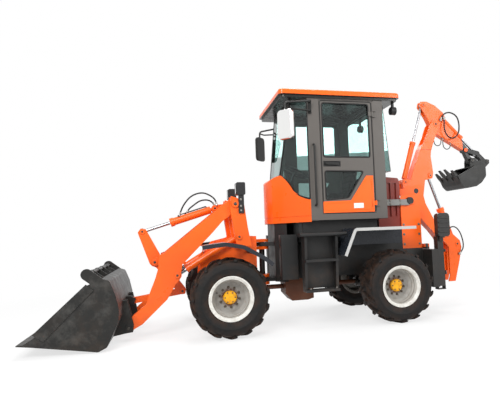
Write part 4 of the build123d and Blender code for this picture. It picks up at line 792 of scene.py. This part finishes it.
def swell(piece, reach):
    """Swell a closed mesh in a short cloth simulation, no point going further than reach, and keep it."""
    scene = bpy.context.scene
    before = [vert.co.copy() for vert in piece.data.vertices]
    cloth = piece.modifiers.new("swell", "CLOTH")
    cloth.settings.use_pressure = True
    cloth.settings.uniform_pressure_force = 4.0
    cloth.settings.effector_weights.gravity = 0.0
    for frame_number in range(1, 21):
        scene.frame_set(frame_number)
    shaped = piece.evaluated_get(bpy.context.evaluated_depsgraph_get())
    after = [vert.co.copy() for vert in shaped.data.vertices]
    piece.modifiers.clear()
    scene.frame_set(1)
    for vert, old, new in zip(piece.data.vertices, before, after):
        step = new - old
        if step.length > reach:
            step *= reach / step.length
        vert.co = old + step


def cushion(name, low, high, lean, channels, cover):
    """A padded form: a rounded block, swollen, leaned back about its foot, with sewn channels across."""
    shape = Shape()
    shape.slab(low, high, min(high[i] - low[i] for i in range(3)) * 0.38)
    piece = shape.piece(name, "rear_frame", cover, "seat_fabric")
    remesh = piece.modifiers.new("voxels", "REMESH")
    remesh.mode = "VOXEL"
    remesh.voxel_size = 0.009
    data = bpy.data.meshes.new_from_object(piece.evaluated_get(bpy.context.evaluated_depsgraph_get()))
    piece.modifiers.clear()
    piece.data = data
    swell(piece, 0.016)
    axis, places = channels
    for vert in data.vertices:
        near = min(abs(vert.co[axis] - place) for place in places)
        if near < CHANNEL_HALF:
            vert.co -= vert.normal * CHANNEL_DEPTH * (1 - (near / CHANNEL_HALF) ** 2)
    foot = Vector(((low[0] + high[0]) / 2, 0, low[2]))
    turn = Matrix.Translation(foot) @ Matrix.Rotation(radians(lean), 4, "Y") @ Matrix.Translation(-foot)
    data.transform(turn)
    data.shade_smooth()
    if not data.materials:
        data.materials.append(cover)
    piece.modifiers.new("smooth", "SUBSURF").levels = 1
    return piece


def seat_fabric(name):
    """Woven black seat cloth."""
    s = Shader(name)
    x, y, z = s.axes()
    warp = s.calc("SINE", s.calc("MULTIPLY", s.calc("ADD", x, z), 2600))
    weft = s.calc("SINE", s.calc("MULTIPLY", y, 2600))
    weave = s.calc("MULTIPLY", warp, weft)
    base = s.mix(s.span(weave, -1, 1), (0.012, 0.012, 0.013), (0.030, 0.030, 0.032))
    base = s.mix(s.span(s.noise(6, 4), 0.45, 0.75, 0, 0.4), base, (0.045, 0.043, 0.040))
    return s.finish(base, 0.85, bump=weave, depth=0.0005, edge=0)


SEAT_BACK, SEAT_FRONT = 0.285, 0.715
SEAT_HALF = 0.225
REST_BACK = 0.262            # the backrest's rear face
REST_HALF = 0.215
REST_LEAN = -7               # degrees


def make_seat():
    """The operator's seat: a padded cushion and backrest on a boxed base."""
    cover = seat_fabric("seat cloth")
    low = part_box("seat")[0].z
    back, front = at(SEAT_BACK, 0, 0).x, at(SEAT_FRONT, 0, 0).x
    along = [back + 0.09 + k * CHANNEL_STEP for k in range(4)]
    pad = cushion("seat_cushion", (back, -SEAT_HALF, low + 0.272), (front, SEAT_HALF, low + 0.358), 0,
                  (0, along), cover)
    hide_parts("seat")
    rest = at(REST_BACK, 0, 0).x
    up = [low + 0.43 + k * CHANNEL_STEP for k in range(6)]
    cushion("seat_back", (rest, -REST_HALF, low + 0.35), (rest + 0.085, REST_HALF, low + 0.88), REST_LEAN,
            (2, up), cover)
    stand = Shape()
    stand.slab(at(0.330, -0.170, low), at(0.630, 0.170, low + 0.20), 0.012)
    for k in range(5):
        z = low + 0.205 + k * 0.013
        inset = 0.012 if k % 2 else 0.0
        stand.slab(at(0.345 + inset, -0.155 + inset, z), at(0.615 - inset, 0.155 - inset, z + 0.014), 0.004)
    black = plastic("seat stand", (0.012, 0.012, 0.012), 0.5)
    stand.piece("seat_stand", "rear_frame", black, "black_plastic")


# ---- Stage, light and camera --------------------------------------------------------------------
LAMPS = [  # place, what it aims at, and its power
    ("key", (4.5, 7.5, 6.5), (0, 0, 1.2), 760),
    ("fill", (-6.5, 6.5, 4.5), (-0.5, 0, 1.2), 330),
    ("back", (-3.0, -7.0, 5.5), (0, 0, 1.5), 300),
    ("top", (0, 0, 8.5), (0, 0, 0), 360),
]
LAMP_SIZE = 4.0
AMBIENT = 0.45
FLOOR_HALF = 60
SHADOW_FLOOR = (3.0, 7.0)    # how far out the floor starts to fade, and is as white as the backdrop
SHADOW_FLOOR_SHINE = 0.72    # how much of it shines by itself nearer than that


def light(name, place, aim, power):
    data = bpy.data.lights.new(name, "AREA")
    data.shape = "SQUARE"
    data.size = LAMP_SIZE
    data.energy = power
    lamp = bpy.data.objects.new(name, data)
    bpy.context.scene.collection.objects.link(lamp)
    lamp.location = place
    lamp.rotation_euler = (Vector(aim) - Vector(place)).to_track_quat("-Z", "Y").to_euler()


def make_world():
    """A white backdrop that lights the object at a lower level than it shows."""
    world = bpy.data.worlds.new("studio")
    bpy.context.scene.world = world
    world.use_nodes = True
    graph = Graph(world.node_tree)
    background = graph.nodes["Background"]
    graph.put(background.inputs["Color"], (1, 1, 1))
    graph.put(background.inputs["Strength"], graph.span(graph.seen_rays(), 0, 1, AMBIENT, 1))


def make_floor():
    """A pale floor: near the object it takes the shadow, and further off it is as white as the backdrop."""
    mesh = bpy.data.meshes.new("floor")
    h = FLOOR_HALF
    mesh.from_pydata([(-h, -h, 0), (h, -h, 0), (h, h, 0), (-h, h, 0)], [], [(0, 1, 2, 3)])
    floor = bpy.data.objects.new("floor", mesh)
    bpy.context.scene.collection.objects.link(floor)
    s = Shader("floor")
    surface = s.surface
    surface.inputs["Base Color"].default_value = (0.86, 0.86, 0.86, 1)
    surface.inputs["Roughness"].default_value = 0.9
    surface.inputs["Specular IOR Level"].default_value = 0.1
    away = s.add("VectorMath", {0: s.place}, operation="LENGTH").outputs["Value"]
    shine = s.calc("MULTIPLY", s.seen_rays(), s.span(away, *SHADOW_FLOOR, SHADOW_FLOOR_SHINE, 1))
    mixer = s.add("MixShader", {0: shine, 1: surface.outputs[0], 2: s.add("Emission").outputs[0]})
    s.links.new(mixer.outputs[0], s.nodes["Material Output"].inputs["Surface"])
    mesh.materials.append(s.material)


def make_stage():
    bpy.context.scene.view_settings.view_transform = "Standard"
    make_world()
    make_floor()
    for lamp in LAMPS:
        light(*lamp)


CAMERA_PLACE = (2.824, 6.251, 1.208)
CAMERA_YAW, CAMERA_PITCH, CAMERA_ROLL = radians(14.798), radians(3.648), radians(-2.217)


def make_camera():
    """A lens at chest height, ahead of the machine's middle and turned back towards its rear."""
    data = bpy.data.cameras.new("camera")
    data.lens = 32.885
    data.sensor_width = 36.0
    data.shift_x = -0.0824
    data.shift_y = 0.0068
    camera = bpy.data.objects.new("camera", data)
    bpy.context.scene.collection.objects.link(camera)
    yaw, pitch, roll = CAMERA_YAW, CAMERA_PITCH, CAMERA_ROLL
    forward = Vector((-sin(yaw) * cos(pitch), -cos(yaw) * cos(pitch), sin(pitch)))
    level = forward.cross(Vector((0, 0, 1))).normalized()
    upright = level.cross(forward)
    right = level * cos(roll) + upright * sin(roll)
    up = upright * cos(roll) - level * sin(roll)
    turn = Matrix((right, up, -forward)).transposed()
    camera.matrix_world = Matrix.Translation(at(*CAMERA_PLACE)) @ turn.to_4x4()
    bpy.context.scene.camera = camera


def main():
    make_camera()
    make_hoses()
    make_stage()
    dress_nodes()
    make_seals()
    make_pin_caps()
    make_wheel_parts()
    make_lamps()
    make_fasteners()
    make_lines()
    make_seat()


main()
